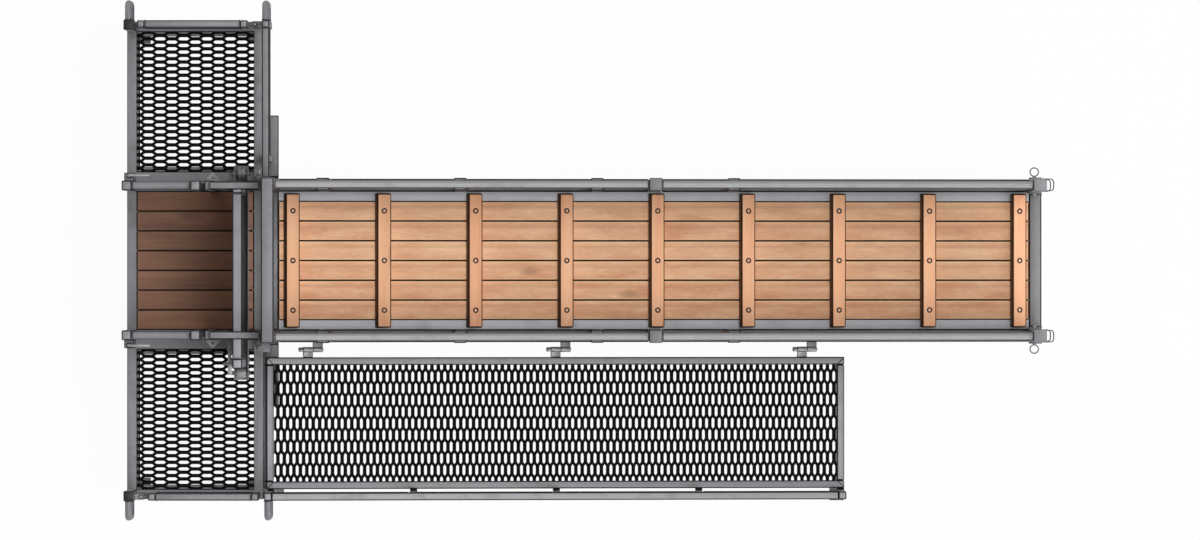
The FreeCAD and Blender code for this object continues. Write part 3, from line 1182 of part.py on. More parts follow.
# Catwalk guard of square tube: rails that follow the slope over plumb posts. The end posts reach
# the ground and the uphill one carries a grab handle.
walkStartX = f"({floorStart} - walkBack * cos(slope))"
walkRun = "(walkLong * cos(slope))"
walkOuter = f"({walkInner} + walkWide)"
guardMiddle = f"({walkOuter} + walkGuardOut)"
guardLow = f"(-{guardMiddle} - walkGuardTube / 2)"
postPitch = f"(({walkRun} - walkGuardTube) / (walkPosts - 1))"
lugSide = f"(-{guardMiddle} + walkGuardTube / 2)"
walkPosts = int(size["walkPosts"])
guardPieces = []
walkFeet = []
for k in range(walkPosts):
    x = f"({walkStartX} + {postPitch} * {k})"
    if k in (0, walkPosts - 1):
        guardPieces.append(block(f"walk_leg_{k}", x, guardLow, "footThick", "walkGuardTube",
                                 "walkGuardTube", f"{floorAt(x)} + guardHeight - footThick"))
        footX = x if k == 0 else f"{x} + walkGuardTube - walkFoot"
        walkFeet.append(block(f"walk_foot_{k}", footX, f"-{guardMiddle} - walkFoot / 2", 0,
                              "walkFoot", "walkFoot", "footThick"))
    else:
        guardPieces.append(slopeBar(f"walk_post_{k}", x, guardLow, f"{floorAt(x)} - walkTube",
                                    "walkGuardTube", "walkGuardTube",
                                    "guardHeight + walkTube - walkGuardTube"))
    guardPieces.append(slopeBar(f"walk_lug_{k}", x, lugSide, f"{floorAt(x)} - walkTube + walkLugDrop",
                                "walkGuardTube", "walkGuardOut - walkGuardTube / 2",
                                "walkTube - 2 * walkLugDrop"))
    if k < walkPosts - 1:
        after = f"({x} + walkGuardTube)"
        guardPieces.append(slopeBar(f"walk_middle_rail_{k}", after, guardLow,
                                    f"{floorAt(after)} + guardHeight / 2",
                                    f"{postPitch} - walkGuardTube", "walkGuardTube", "walkGuardTube"))
topX = f"({walkStartX} + walkGuardTube)"
guardPieces.append(slopeBar("walk_top_rail", topX, guardLow,
                            f"{floorAt(topX)} + guardHeight - walkGuardTube",
                            f"{walkRun} - 2 * walkGuardTube", "walkGuardTube", "walkGuardTube"))
topLevel = floorAt(walkStartX)
guardPieces.append(grabHandle("walk_handle", f"{walkStartX} + walkGuardTube / 2",
                              f"{guardMiddle} + walkGuardTube / 2", -1,
                              f"({topLevel} + guardHeight - handleDrop)",
                              f"({topLevel} + handleLow)"))
node("catwalk_guard", guardPieces)
node("catwalk_feet", walkFeet)

doc.recompute()
for item in doc.Objects:
    bad = [word for word in item.State if word in ("Invalid", "Error")]
    if bad:
        raise SystemExit(f"{item.Name} is {bad}")
for name, item in nodes.items():
    shape = item.Shape
    if shape.isNull() or not shape.isValid():
        raise SystemExit(f"{name} has no sound shape")
for name, item in nodes.items():
    item.Shape.exportStep(f"parts/{name}.step")
    box = item.Shape.BoundBox
    print(name, len(item.Shape.Solids), [round(v) for v in (
        box.XMin, box.XMax, box.YMin, box.YMax, box.ZMin, box.ZMax)])
print(len(nodes), "nodes")
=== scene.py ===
import bmesh
import bpy
import json
import math
import random
from mathutils import Matrix, Vector


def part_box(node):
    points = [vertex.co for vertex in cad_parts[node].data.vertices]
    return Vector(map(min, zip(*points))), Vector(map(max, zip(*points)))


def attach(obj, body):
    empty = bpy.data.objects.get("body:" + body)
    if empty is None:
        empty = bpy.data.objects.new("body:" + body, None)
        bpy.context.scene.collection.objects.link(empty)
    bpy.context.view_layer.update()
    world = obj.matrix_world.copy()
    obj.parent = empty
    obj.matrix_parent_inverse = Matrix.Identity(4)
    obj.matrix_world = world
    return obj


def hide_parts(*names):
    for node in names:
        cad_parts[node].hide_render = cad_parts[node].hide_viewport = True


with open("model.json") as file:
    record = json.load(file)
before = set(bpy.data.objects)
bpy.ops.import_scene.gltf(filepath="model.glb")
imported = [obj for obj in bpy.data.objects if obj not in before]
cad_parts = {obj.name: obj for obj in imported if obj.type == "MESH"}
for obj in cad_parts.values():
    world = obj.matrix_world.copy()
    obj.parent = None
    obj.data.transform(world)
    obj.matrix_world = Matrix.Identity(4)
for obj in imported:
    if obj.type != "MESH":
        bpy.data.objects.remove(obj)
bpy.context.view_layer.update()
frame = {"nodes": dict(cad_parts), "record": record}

# Livestock loading ramp: finishes and fine detail around the fixed model.
# x runs down the race from the dock, y across it, z up. Lengths are metres.

random.seed(7)
slopeAngle = math.radians(15)
bodyOf = {node: body for body, nodes in frame["record"]["behaviour"]["bodies"].items() for node in nodes}
slotOf = {part["node"]: part["material_slot"] for part in frame["record"]["subparts"]}
print("frame", len(frame["nodes"]), "nodes")


# Camera, straight down on the ramp from far off, as the drawing shows it.
camera = {"photoWide": 1200, "photoHigh": 540, "metresPerPixel": 0.005128, "middleX": 590.3,
          "middleY": 260.5, "lens": 740, "sensor": 36, "level": 1.3, "near": 1, "reach": 400}


def placeCamera():
    data = bpy.data.cameras.new("camera")
    data.lens = camera["lens"]
    data.sensor_width = camera["sensor"]
    data.clip_start = camera["near"]
    data.clip_end = camera["reach"]
    eye = bpy.data.objects.new("camera", data)
    scale = camera["metresPerPixel"]
    away = camera["photoWide"] * scale * camera["lens"] / camera["sensor"]
    eye.location = ((camera["photoWide"] / 2 - camera["middleX"]) * scale,
                    (camera["middleY"] - camera["photoHigh"] / 2) * scale, camera["level"] + away)
    bpy.context.collection.objects.link(eye)
    bpy.context.scene.camera = eye


placeCamera()
bpy.context.scene.view_settings.view_transform = "Standard"


# Shader sums. A Wire is one output of a node, and + - * on it add Math nodes.
class Wire:
    def __init__(self, finish, socket):
        self.finish = finish
        self.socket = socket

    def math(self, operation, first, second):
        return self.finish.add("ShaderNodeMath", {"operation": operation}, {0: first, 1: second})

    def __add__(self, other):
        return self.math("ADD", self, other)

    def __radd__(self, other):
        return self.math("ADD", other, self)

    def __sub__(self, other):
        return self.math("SUBTRACT", self, other)

    def __rsub__(self, other):
        return self.math("SUBTRACT", other, self)

    def __mul__(self, other):
        return self.math("MULTIPLY", self, other)

    def __rmul__(self, other):
        return self.math("MULTIPLY", other, self)

    def above(self, level, soft):  # 0 below the level, 1 above it, over a soft step
        return self.finish.add("ShaderNodeMapRange", {"clamp": True},
                               {"Value": self, "From Min": level - soft, "From Max": level + soft})


class Finish:
    def __init__(self, owner):
        owner.use_nodes = True
        self.tree = owner.node_tree
        self.shader = self.tree.nodes.get("Principled BSDF")

    def add(self, kind, settings=None, inputs=None, output=0):
        made = self.tree.nodes.new(kind)
        for word, value in (settings or {}).items():
            setattr(made, word, value)
        for word, value in (inputs or {}).items():
            self.join(made.inputs[word], value)
        return Wire(self, made.outputs[output])

    def join(self, socket, value):
        if isinstance(value, Wire):
            self.tree.links.new(value.socket, socket)
        else:
            socket.default_value = value

    def noise(self, place, scale, detail, roughness):
        return self.add("ShaderNodeTexNoise", {}, {"Vector": place, "Scale": scale, "Detail": detail,
                                                   "Roughness": roughness})

    def scaled(self, colour, factor):
        return self.add("ShaderNodeVectorMath", {"operation": "SCALE"}, {0: colour, "Scale": factor})

    def stretched(self, place, scale):
        return self.add("ShaderNodeVectorMath", {"operation": "MULTIPLY"}, {0: place, 1: scale})

    def blend(self, share, first, second):  # two colours, by the Mix node's colour sockets
        made = self.tree.nodes.new("ShaderNodeMix")
        made.data_type = "RGBA"
        self.join(made.inputs[0], share)
        self.join(made.inputs[6], first)
        self.join(made.inputs[7], second)
        return Wire(self, made.outputs[2])

    def mark(self, name):  # the number that a face or corner carries under this name
        return self.add("ShaderNodeAttribute", {"attribute_name": name}, output=2)

    def bump(self, height, strength, distance):
        inputs = {"Strength": strength, "Distance": distance, "Height": height}
        self.join(self.shader.inputs["Normal"], self.add("ShaderNodeBump", {}, inputs))


def tone(red, green, blue):  # screen values 0 to 255 as a linear colour, by the usual screen curve
    parts = [value / 255 for value in (red, green, blue)]
    return tuple(c / 12.92 if c < 0.04045 else ((c + 0.055) / 1.055) ** 2.4 for c in parts) + (1,)


def shaded(colour, factor):
    return tuple(c * factor for c in colour[:3]) + (1,)


# Galvanised steel: cloudy zinc with fine spangle and dust, dark welds at joints, painted shade along
# edges, and painted light where a piece is marked paler. edge is the share of the steel's own tone that is
# left on those dark edges.
steelLooks = {
    "frame_steel": {"colour": tone(109, 109, 112), "rough": 0.56, "metal": 0.30, "edge": 0.05},
    "gate_steel": {"colour": tone(113, 113, 117), "rough": 0.56, "metal": 0.30, "edge": 0.05},
    "rail_steel": {"colour": tone(134, 134, 136), "rough": 0.48, "metal": 0.35, "edge": 0.08},
    "sheet_steel": {"colour": tone(140, 140, 142), "rough": 0.50, "metal": 0.35, "edge": 0.25},
    "pin_steel": {"colour": tone(140, 140, 142), "rough": 0.40, "metal": 0.45, "edge": 0.12},
    "wheel_iron": {"colour": tone(150, 150, 152), "rough": 0.40, "metal": 0.40, "edge": 0.12},
    "mesh_steel": {"colour": tone(7, 7, 8), "rough": 0.80, "metal": 0.0, "edge": 0.60},
}
dullShine = {"mesh_steel": 0.08, "cap_plastic": 0.20}  # finishes that hardly reflect
# The dark edges are painted shade; a near black metal keeps them dark under every lamp.
seamAndShadeMetal = 0.9  # a near black metal reflects almost nothing, so edges stay dark from every side

# The zinc's pattern: for each layer its scale, detail and roughness, and how much it shifts the tone.
zinc = {"clouds": (3.1, 4, 0.55), "grain": (46, 3, 0.6), "dust": (9, 5, 0.65), "spangle": 85,
        "cloudTone": 0.20, "spangleTone": 0.07, "grainTone": 0.08, "boardTone": 0.07,
        "darkest": 0.62, "palest": 1.38, "dustLevel": 0.62, "dustSoft": 0.10, "dustShare": 0.22,
        "dustTone": 0.66, "seamAndShadeTone": 0.3, "grainRough": 0.16, "dustRough": 0.6,
        "grainBump": 0.6, "cloudBump": 0.4, "bump": 0.10, "bumpDeep": 0.002}


def steelFinish(material, look):
    steel = Finish(material)
    place = steel.add("ShaderNodeTexCoord", output="Object")
    clouds = steel.noise(place, *zinc["clouds"])
    grain = steel.noise(place, *zinc["grain"])
    spangle = steel.add("ShaderNodeTexVoronoi", {"feature": "F1"},
                        {"Vector": place, "Scale": zinc["spangle"]}, "Color")
    flakes = steel.add("ShaderNodeSeparateColor", {}, {0: spangle})
    lift = ((clouds - 0.5) * zinc["cloudTone"] + (flakes - 0.5) * zinc["spangleTone"]
            + (grain - 0.5) * zinc["grainTone"] + (steel.mark("board") - 0.5) * zinc["boardTone"])
    seam_and_shade = steel.mark("seam_and_shade")
    cloudy = steel.blend(lift + 0.5, shaded(look["colour"], zinc["darkest"]),
                         shaded(look["colour"], zinc["palest"]))
    dust = steel.noise(place, *zinc["dust"]).above(zinc["dustLevel"], zinc["dustSoft"]) * zinc["dustShare"]
    # Dust darkens the tone, and the painted light mark then scales it: steel made lighter or darker by
    # painted light.
    dustAndPaintedLight = steel.scaled(steel.blend(dust, cloudy, shaded(look["colour"], zinc["dustTone"])),
                         1 + steel.mark("painted_light"))
    dark = shaded(look["colour"], look["edge"] * zinc["seamAndShadeTone"])
    steel.join(steel.shader.inputs["Base Color"], steel.blend(seam_and_shade * (1 - look["edge"]), dustAndPaintedLight, dark))
    steel.join(steel.shader.inputs["Roughness"],
               look["rough"] + (grain - 0.5) * zinc["grainRough"] + dust * zinc["dustRough"])
    steel.join(steel.shader.inputs["Metallic"], look["metal"] + seam_and_shade * (seamAndShadeMetal - look["metal"]))
    steel.bump(grain * zinc["grainBump"] + clouds * zinc["cloudBump"], zinc["bump"], zinc["bumpDeep"])


# Sawn timber: grain along each board, board to board differences, dark edges that are painted shade
# in the joints between boards, and a few knots. level is painted light on a whole timber, the slope along
# the ramp is a painted light gradient, and lines draws its long dark lines and painted highlight margins.
timberLooks = {
    "dock_timber": {"light": tone(146, 103, 77), "dark": tone(106, 70, 50), "edge": tone(9, 4, 3),
                    "along": (1.1, 22, 22), "rough": 0.62, "level": 2.20, "fade": -0.60, "lines": 0.0},
    "ramp_timber": {"light": tone(255, 208, 164), "dark": tone(222, 158, 116), "edge": tone(14, 5, 3),
                    "along": (0.9, 17, 17), "rough": 0.66, "level": 0.98, "fade": 0.07, "lines": 1.0},
    "cleat_timber": {"light": tone(255, 200, 156), "dark": tone(240, 170, 128), "edge": tone(12, 4, 2),
                     "along": (26, 1.3, 26), "rough": 0.64, "level": 1.08, "fade": 0.0, "lines": 0.0},
}


# The grain's pattern: for each layer its scale, detail and roughness, and how much it shifts the tone.
sawnGrain = {"bands": (1.0, 2, 0.45), "streaks": (5.5, 4, 0.6), "pores": (21, 3, 0.7),
             "boardShift": (7.3, 3.1, 5.7), "bandTone": 1.5, "streakTone": 0.9, "boardTone": 0.30,
             "poreLevel": 0.66, "poreSoft": 0.10, "poreShare": 0.35, "poreTone": 0.55, "seamAndShadeShare": 0.96,
             "streakRough": 0.2, "streakBump": 0.6, "poreBump": 0.4, "bump": 0.25, "bumpDeep": 0.0015}
knot = {"along": 1.6, "across": 5.0, "radius": 0.10, "soft": 0.05, "share": 0.5, "tone": 0.45}
# Long lines on a plank, placed by share of its width: a dark one, and a bright margin along each side that
# is a painted highlight.
plankLine = {"darkFrom": (0.62, 0.05), "darkTo": (0.78, 0.04), "darkShare": 0.30, "darkTone": 0.75,
             "upper": (0.90, 0.02), "lower": (0.07, 0.02), "highlightShare": 0.45, "highlightTone": 1.12}


def timberFinish(material, look):
    wood = Finish(material)
    place = wood.add("ShaderNodeTexCoord", output="Object")
    board = wood.mark("board")
    shift = wood.add("ShaderNodeCombineXYZ", {}, {k: board * sawnGrain["boardShift"][k] for k in range(3)})
    moved = wood.add("ShaderNodeVectorMath", {"operation": "ADD"}, {0: place, 1: shift})
    bands = wood.noise(wood.stretched(moved, look["along"]), *sawnGrain["bands"])
    streaks = wood.noise(wood.stretched(moved, look["along"]), *sawnGrain["streaks"])
    pores = wood.noise(wood.stretched(moved, look["along"]), *sawnGrain["pores"])
    share = ((bands - 0.5) * sawnGrain["bandTone"] + (streaks - 0.5) * sawnGrain["streakTone"]
             + (board - 0.5) * sawnGrain["boardTone"] + 0.5)
    grained = wood.blend(share, look["dark"], look["light"])
    poreShare = pores.above(sawnGrain["poreLevel"], sawnGrain["poreSoft"]) * sawnGrain["poreShare"]
    fine = wood.blend(poreShare, grained, shaded(look["dark"], sawnGrain["poreTone"]))
    knotScale = tuple(knot["along"] if v < 2 else knot["across"] for v in look["along"])
    knots = wood.add("ShaderNodeTexVoronoi", {"feature": "F1"},
                     {"Vector": wood.stretched(moved, knotScale), "Scale": 1.0})
    knotShare = (1 - knots.above(knot["radius"], knot["soft"])) * knot["share"]
    knotted = wood.blend(knotShare, fine, shaded(look["dark"], knot["tone"]))
    across = wood.mark("across")
    dark = across.above(*plankLine["darkFrom"]) * (1 - across.above(*plankLine["darkTo"])) * look["lines"]
    # The bright margins along a plank's sides are a painted highlight.
    paintedHighlight = (across.above(*plankLine["upper"]) + 1 - across.above(*plankLine["lower"])) * look["lines"]
    darkLined = wood.blend(dark * plankLine["darkShare"], knotted,
                           shaded(look["dark"], plankLine["darkTone"]))
    lined = wood.blend(paintedHighlight * plankLine["highlightShare"], darkLined,
                       shaded(look["light"], plankLine["highlightTone"]))
    # Painted light: level scales a whole timber's tone, lifting the dock's planks out of the shade they sit
    # in, and the slope makes the timber lighter at one end of the ramp than the other.
    downRamp = wood.add("ShaderNodeSeparateXYZ", {}, {0: place})
    paintedLit = wood.scaled(lined, look["level"] - downRamp * look["fade"])
    seam_and_shade = wood.mark("seam_and_shade") * sawnGrain["seamAndShadeShare"]
    wood.join(wood.shader.inputs["Base Color"], wood.blend(seam_and_shade, paintedLit, look["edge"]))
    wood.join(wood.shader.inputs["Metallic"], seam_and_shade * seamAndShadeMetal)
    wood.join(wood.shader.inputs["Roughness"], look["rough"] + (streaks - 0.5) * sawnGrain["streakRough"])
    wood.bump(streaks * sawnGrain["streakBump"] + pores * sawnGrain["poreBump"],
              sawnGrain["bump"], sawnGrain["bumpDeep"])


plasticLooks = {
    "cap_plastic": {"colour": tone(22, 22, 23), "rough": 0.48},
    "roller_plastic": {"colour": tone(138, 138, 140), "rough": 0.40},
}
moulded = {"pits": (240, 2, 0.6), "clouds": (14, 3, 0.6), "darkest": 0.75, "palest": 1.3,
           "cloudRough": 0.25, "bump": 0.12, "bumpDeep": 0.0005}


def plasticFinish(material, look):
    plastic = Finish(material)
    place = plastic.add("ShaderNodeTexCoord", output="Object")
    pits = plastic.noise(place, *moulded["pits"])
    clouds = plastic.noise(place, *moulded["clouds"])
    cloudy = plastic.blend(clouds, shaded(look["colour"], moulded["darkest"]),
                           shaded(look["colour"], moulded["palest"]))
    plastic.join(plastic.shader.inputs["Base Color"], cloudy)
    plastic.join(plastic.shader.inputs["Roughness"], look["rough"] + (clouds - 0.5) * moulded["cloudRough"])
    plastic.bump(pits, moulded["bump"], moulded["bumpDeep"])


finishes = {}
families = ((steelLooks, steelFinish), (timberLooks, timberFinish), (plasticLooks, plasticFinish))
for looks, makeFinish in families:
    for slot, look in looks.items():
        finishes[slot] = bpy.data.materials.new(slot)
        makeFinish(finishes[slot], look)
        shine = finishes[slot].node_tree.nodes["Principled BSDF"].inputs["Specular IOR Level"]
        shine.default_value = dullShine.get(slot, shine.default_value)
print("finishes", len(finishes))


# Building pieces. Every face carries marks for its finish: board, a number of its own solid; a seam
# mark, up to 1 on weld beads, which are dark welds, and on softened edges, shaded sides and rail
# shoulders, where it is painted shade; and a painted light mark, how much lighter painted light makes
# its steel. A plank's corners carry across, 0 to 1 over its width.
softEdge = {"sharp": math.radians(35), "segments": 2}
smoothAngle = math.radians(38)


def freshShape():
    shape = bmesh.new()
    for word in ("board", "seam_and_shade", "painted_light"):
        shape.faces.layers.float.new(word)
    shape.verts.layers.float.new("across")
    return shape


def markFaces(shape, faces, word, value):
    layer = shape.faces.layers.float[word]
    for face in faces:
        face[layer] = value


def addShape(piece, shape):
    bmesh.ops.recalc_face_normals(shape, faces=shape.faces)
    markFaces(shape, shape.faces, "board", random.random())
    carrier = bpy.data.meshes.new("carrier")
    shape.to_mesh(carrier)
    piece.from_mesh(carrier)
    bpy.data.meshes.remove(carrier)
    shape.free()


def softenEdges(shape, wide, sharp=softEdge["sharp"], segments=softEdge["segments"], seam_and_shade=1.0):
    edges = [edge for edge in shape.edges if edge.is_manifold and edge.calc_face_angle() > sharp]
    if edges and wide > 0:
        done = bmesh.ops.bevel(shape, geom=edges, offset=wide, affect="EDGES", segments=segments,
                               profile=0.5, material=-1, clamp_overlap=True)
        # The bevel faces take the dark mark: painted shade along edges, or a dark weld on a bead.
        markFaces(shape, done["faces"], "seam_and_shade", seam_and_shade)


def finishPiece(piece, name, slot, body, nodes=(), painted_light=0.0):
    markFaces(piece, piece.faces, "painted_light", painted_light)
    mesh = bpy.data.meshes.new(name)
    piece.to_mesh(mesh)
    piece.free()
    mesh.shade_smooth()
    mesh.set_sharp_from_angle(angle=smoothAngle)
    mesh.materials.append(finishes[slot])
    made = bpy.data.objects.new(name, mesh)
    bpy.context.collection.objects.link(made)
    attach(made, body)
    if nodes:
        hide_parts(*nodes)


cornersPerMetre = 20000  # corners within a step of 0.05 mm are one
flatAngle = math.radians(0.5)


def solidsOf(node):
    # The separate solids of a node as merged shapes: a run of triangles ends when it is closed.
    mesh = frame["nodes"][node].data
    found = []
    openEdges = set()
    shape = freshShape()
    corners = {}
    for face in mesh.polygons:
        keys = []
        for index in face.vertices:
            point = mesh.vertices[index].co
            key = tuple(round(value * cornersPerMetre) for value in point)
            if key not in corners:
                corners[key] = shape.verts.new(point)
            keys.append(key)
        if len(set(keys)) == 3:
            shape.faces.new([corners[key] for key in keys])
        for pair in zip(keys, keys[1:] + keys[:1]):
            if pair[::-1] in openEdges:
                openEdges.remove(pair[::-1])
            else:
                openEdges.add(pair)
        if not openEdges:
            shape.normal_update()
            bmesh.ops.dissolve_limit(shape, angle_limit=flatAngle, verts=shape.verts, edges=shape.edges)
            found.append(shape)
            shape = freshShape()
            corners = {}
    shape.free()
    return found


def spanOf(shape):
    points = [vert.co for vert in shape.verts]
    return [Vector([pick(point[axis] for point in points) for axis in range(3)]) for pick in (min, max)]


# Oval cattle rails. The model's rails have a coarse section, so each is swept again smooth, with
# painted shade in a line along each shoulder and a weld bead at each end.
ovalRail = {"wide": 0.040, "tall": 0.115, "sides": 32, "modelCorners": 20, "modelFaces": 12,
            "slack": 0.0005, "bead": 0.0035, "beadLong": 0.007, "beadEdge": 0.7, "beadDark": 0.75,
            "shoulder": (0.05, 0.52), "shoulderDark": 0.85}


def ovalRing(shape, centre, grow=0.0):
    radius = ovalRail["wide"] / 2 + grow
    rise = (ovalRail["tall"] - ovalRail["wide"]) / 2
    turn = Matrix.Rotation(math.pi / 2, 4, "Y")
    ring = bmesh.ops.create_circle(shape, segments=ovalRail["sides"], radius=radius, matrix=turn)["verts"]
    for vert in ring:
        vert.co.z += rise if vert.co.z > 0 else -rise
    bmesh.ops.translate(shape, verts=ring, vec=centre)
    return ring


def sweepOval(start, stop, grow=0.0):
    shape = freshShape()
    rings = [ovalRing(shape, centre, grow) for centre in (start, stop)]
    bmesh.ops.bridge_loops(shape, edges=list(shape.edges))
    for ring in rings:
        shape.faces.new(ring)
    return shape


def isOval(shape):
    return len(shape.verts) == ovalRail["modelCorners"] and len(shape.faces) == ovalRail["modelFaces"]


def smoothOval(piece, shape):
    low, high = spanOf(shape)
    ends = []
    for station in (low.x, high.x):
        levels = [vert.co.z for vert in shape.verts if abs(vert.co.x - station) < ovalRail["slack"]]
        ends.append(Vector((station, (low.y + high.y) / 2, (min(levels) + max(levels)) / 2)))
    rail = sweepOval(*ends)
    rail.normal_update()
    # Painted shade along the shoulders, where a round rail turns away from the light.
    least, most = ovalRail["shoulder"]
    shoulders = [face for face in rail.faces if least < face.normal.z < most]
    markFaces(rail, shoulders, "seam_and_shade", ovalRail["shoulderDark"])
    addShape(piece, rail)
    for end, other, sign in zip(ends, ends[::-1], (1, -1)):
        drop = (other.z - end.z) * ovalRail["beadLong"] / (high.x - low.x)
        inner = end + Vector((sign * ovalRail["beadLong"], 0, drop))
        bead = sweepOval(end, inner, ovalRail["bead"])
        markFaces(bead, bead.faces, "seam_and_shade", ovalRail["beadDark"])
        softenEdges(bead, ovalRail["bead"] * ovalRail["beadEdge"], seam_and_shade=ovalRail["beadDark"])
        addShape(piece, bead)
    shape.free()


# Weld beads: a rounded collar round each end of a bar, where it meets what carries it. edge is how
# much of the collar's height is rounded off.
weldBead = {"proud": 0.003, "long": 0.006, "edge": 0.8, "dark": 0.7}


def addBeads(piece, low, high, axis):
    for station, sign in ((low, 1), (high, -1)):
        bead = freshShape()
        size = [high[k] - low[k] + 2 * weldBead["proud"] for k in range(3)]
        size[axis] = weldBead["long"]
        bmesh.ops.create_cube(bead, size=1, matrix=Matrix.Diagonal((*size, 1)))
        middle = (low + high) / 2
        middle[axis] = station[axis] + sign * weldBead["long"] / 2
        bmesh.ops.translate(bead, verts=bead.verts, vec=middle)
        markFaces(bead, bead.faces, "seam_and_shade", weldBead["dark"])
        softenEdges(bead, weldBead["proud"] * weldBead["edge"], seam_and_shade=weldBead["dark"])
        addShape(piece, bead)


# Bars, plates and timbers keep the model's shape with softened edges, whose widths are in
# millimetres. Some have painted light, steel paler than its finish where the piece sits in shade or
# catches a highlight, and some have beads on their level bars.
edgeWidths = {
    "platform_frame": 6.2, "dock_legs": 5.5, "corner_posts": 5.5, "far_guard_rail": 5.5,
    "gate_frame_far": 5.5, "gate_frame_near": 5.5, "slide_gate_channel": 1.6, "portal_arch": 6.2,
    "middle_frame": 6.2, "entry_frame": 6.2, "foot_plates": 3.0, "ramp_side_rails": 6.0,
    "floor_strips": 2.0, "floor_bearers": 3.5, "wall_posts": 6.0, "outrigger_arms": 5.5,
    "catwalk_frame": 5.8, "catwalk_guard": 5.5, "catwalk_feet": 3.0, "coupling_plates": 2.5,
    "cheek_plates": 2.5, "lug_plates": 2.5, "latch_bracket": 2.5,
    "wing_gate_far": 5.5, "wing_gate_near": 5.5, "end_gate_far": 5.5, "end_gate_near": 5.5,
    "slide_gate_frame": 6.0, "wall_rails_far": 2.0, "wall_rails_near": 2.0, "side_sheets_far": 0.6,
    "side_sheets_near": 0.6, "slide_gate_sheets": 0.6, "wing_hinges": 1.5, "end_gate_gudgeons": 2.5,
    "roller_axles": 1.5, "latch_pivot": 1.5, "latch_lever": 2.5, "catwalk_barrels": 2.0,
    "ramp_barrels": 2.0, "hinge_pins": 1.6, "support_roller_outer": 2.0, "support_roller_inner": 2.0,
    "rope_wheel": 1.2, "deck_planks": 4.2, "ramp_planks": 4.6, "ramp_cleats": 6.5,
}
paintedLightNodes = {"floor_strips": 1.9, "catwalk_frame": 0.50, "catwalk_guard": 0.60, "slide_gate_frame": 0.45,
             "lug_plates": 0.30, "coupling_plates": 0.20, "entry_frame": 0.22}
beaded = {"dock_legs", "far_guard_rail", "gate_frame_far", "gate_frame_near", "portal_arch",
          "middle_frame", "entry_frame", "end_gate_far", "end_gate_near", "slide_gate_frame"}
handleNodes = ("far_guard_rail", "catwalk_guard")
handleCorners = 100  # a bent handle has more corners than any bar
boxCorners = 8
slenderBar = 3  # a bar is longer than this many times its least side
uphillFace = {"turned": 0.9, "dark": 0.9}  # the side of a cleat that lies in shade


def levelBar(shape):
    if len(shape.verts) != boxCorners:
        return None
    low, high = spanOf(shape)
    size = high - low
    axis = max(range(3), key=lambda k: size[k])
    return axis if size[axis] > slenderBar * min(size) and axis != 2 else None


plankJoint = 0.0008  # boards have swollen shut over their joints


def closeJoints(shape, low, high):
    middle = (low + high) / 2
    wider = 1 + plankJoint / (high.y - low.y)
    bmesh.ops.scale(shape, vec=(1, wider, 1), space=Matrix.Translation(-middle), verts=shape.verts)


def markAcross(shape, low, high):
    layer = shape.verts.layers.float["across"]
    for vert in shape.verts:
        vert[layer] = (vert.co.y - low.y) / (high.y - low.y)


def darkenUphill(shape):
    shape.normal_update()
    uphill = [face for face in shape.faces if face.normal.x < -uphillFace["turned"]]
    markFaces(shape, uphill, "seam_and_shade", uphillFace["dark"])


handleShapes = {}
for node, edge in edgeWidths.items():
    piece = freshShape()
    for shape in solidsOf(node):
        if node in handleNodes and len(shape.verts) > handleCorners:
            handleShapes[node] = spanOf(shape)
            shape.free()
        elif isOval(shape):
            smoothOval(piece, shape)
        else:
            low, high = spanOf(shape)
            axis = levelBar(shape) if node in beaded else None
            if node == "ramp_cleats":
                darkenUphill(shape)
            if node.endswith("planks"):
                closeJoints(shape, low, high)
            # On planks the dark softened edges are painted shade, standing in for the shade in the joints
            # between boards.
            softenEdges(shape, edge / 1000)
            if node.endswith("planks"):
                markAcross(shape, low, high)
            addShape(piece, shape)
            if axis is not None:
                addBeads(piece, low, high, axis)
    finishPiece(piece, node + "_finish", slotOf[node], bodyOf[node], [node], paintedLightNodes.get(node, 0.0))
print("bars, plates and timbers", len(edgeWidths))


# Post caps: black plastic on the dock's corner posts, plate caps on the middle posts of the ramp.
postCap = {"edge": 0.0025, "plateEdge": 0.0048, "platePaintedLight": -0.15, "corner": 1.0}
plasticCaps = freshShape()
plateCaps = freshShape()
for shape in solidsOf("post_caps"):
    low, high = spanOf(shape)
    atCorner = max(abs(low.y), abs(high.y)) > postCap["corner"]
    softenEdges(shape, postCap["edge"] if atCorner else postCap["plateEdge"])
    addShape(plasticCaps if atCorner else plateCaps, shape)
finishPiece(plasticCaps, "corner_post_caps", "cap_plastic", "root", ["post_caps"])
# The plate caps get painted shade, a darker tone against the light their tops catch.
finishPiece(plateCaps, "middle_post_caps", "frame_steel", "root", painted_light=postCap["platePaintedLight"])


# Round tubes, swept from a ring through straight runs and bends.
roundTube = {"sides": 28, "bendSteps": 10}


def startRing(shape, centre, forward, radius):
    turn = forward.to_track_quat("Z", "Y").to_matrix().to_4x4()
    ring = bmesh.ops.create_circle(shape, segments=roundTube["sides"], radius=radius,
                                   matrix=Matrix.Translation(centre) @ turn)["verts"]
    return list(dict.fromkeys(edge for vert in ring for edge in vert.link_edges))


def straightRun(shape, edges, along):
    made = bmesh.ops.extrude_edge_only(shape, edges=edges)["geom"]
    verts = [part for part in made if isinstance(part, bmesh.types.BMVert)]
    bmesh.ops.translate(shape, verts=verts, vec=along)
    return [part for part in made if isinstance(part, bmesh.types.BMEdge)
            and all(vert in verts for vert in part.verts)]


def bendRun(shape, edges, centre, axis, angle):
    made = bmesh.ops.spin(shape, geom=edges, cent=centre, axis=axis, angle=angle,
                          steps=roundTube["bendSteps"], use_duplicate=False)["geom_last"]
    return [part for part in made if isinstance(part, bmesh.types.BMEdge)]


def closeEnds(shape):
    bmesh.ops.holes_fill(shape, edges=[edge for edge in shape.edges if edge.is_boundary], sides=0)


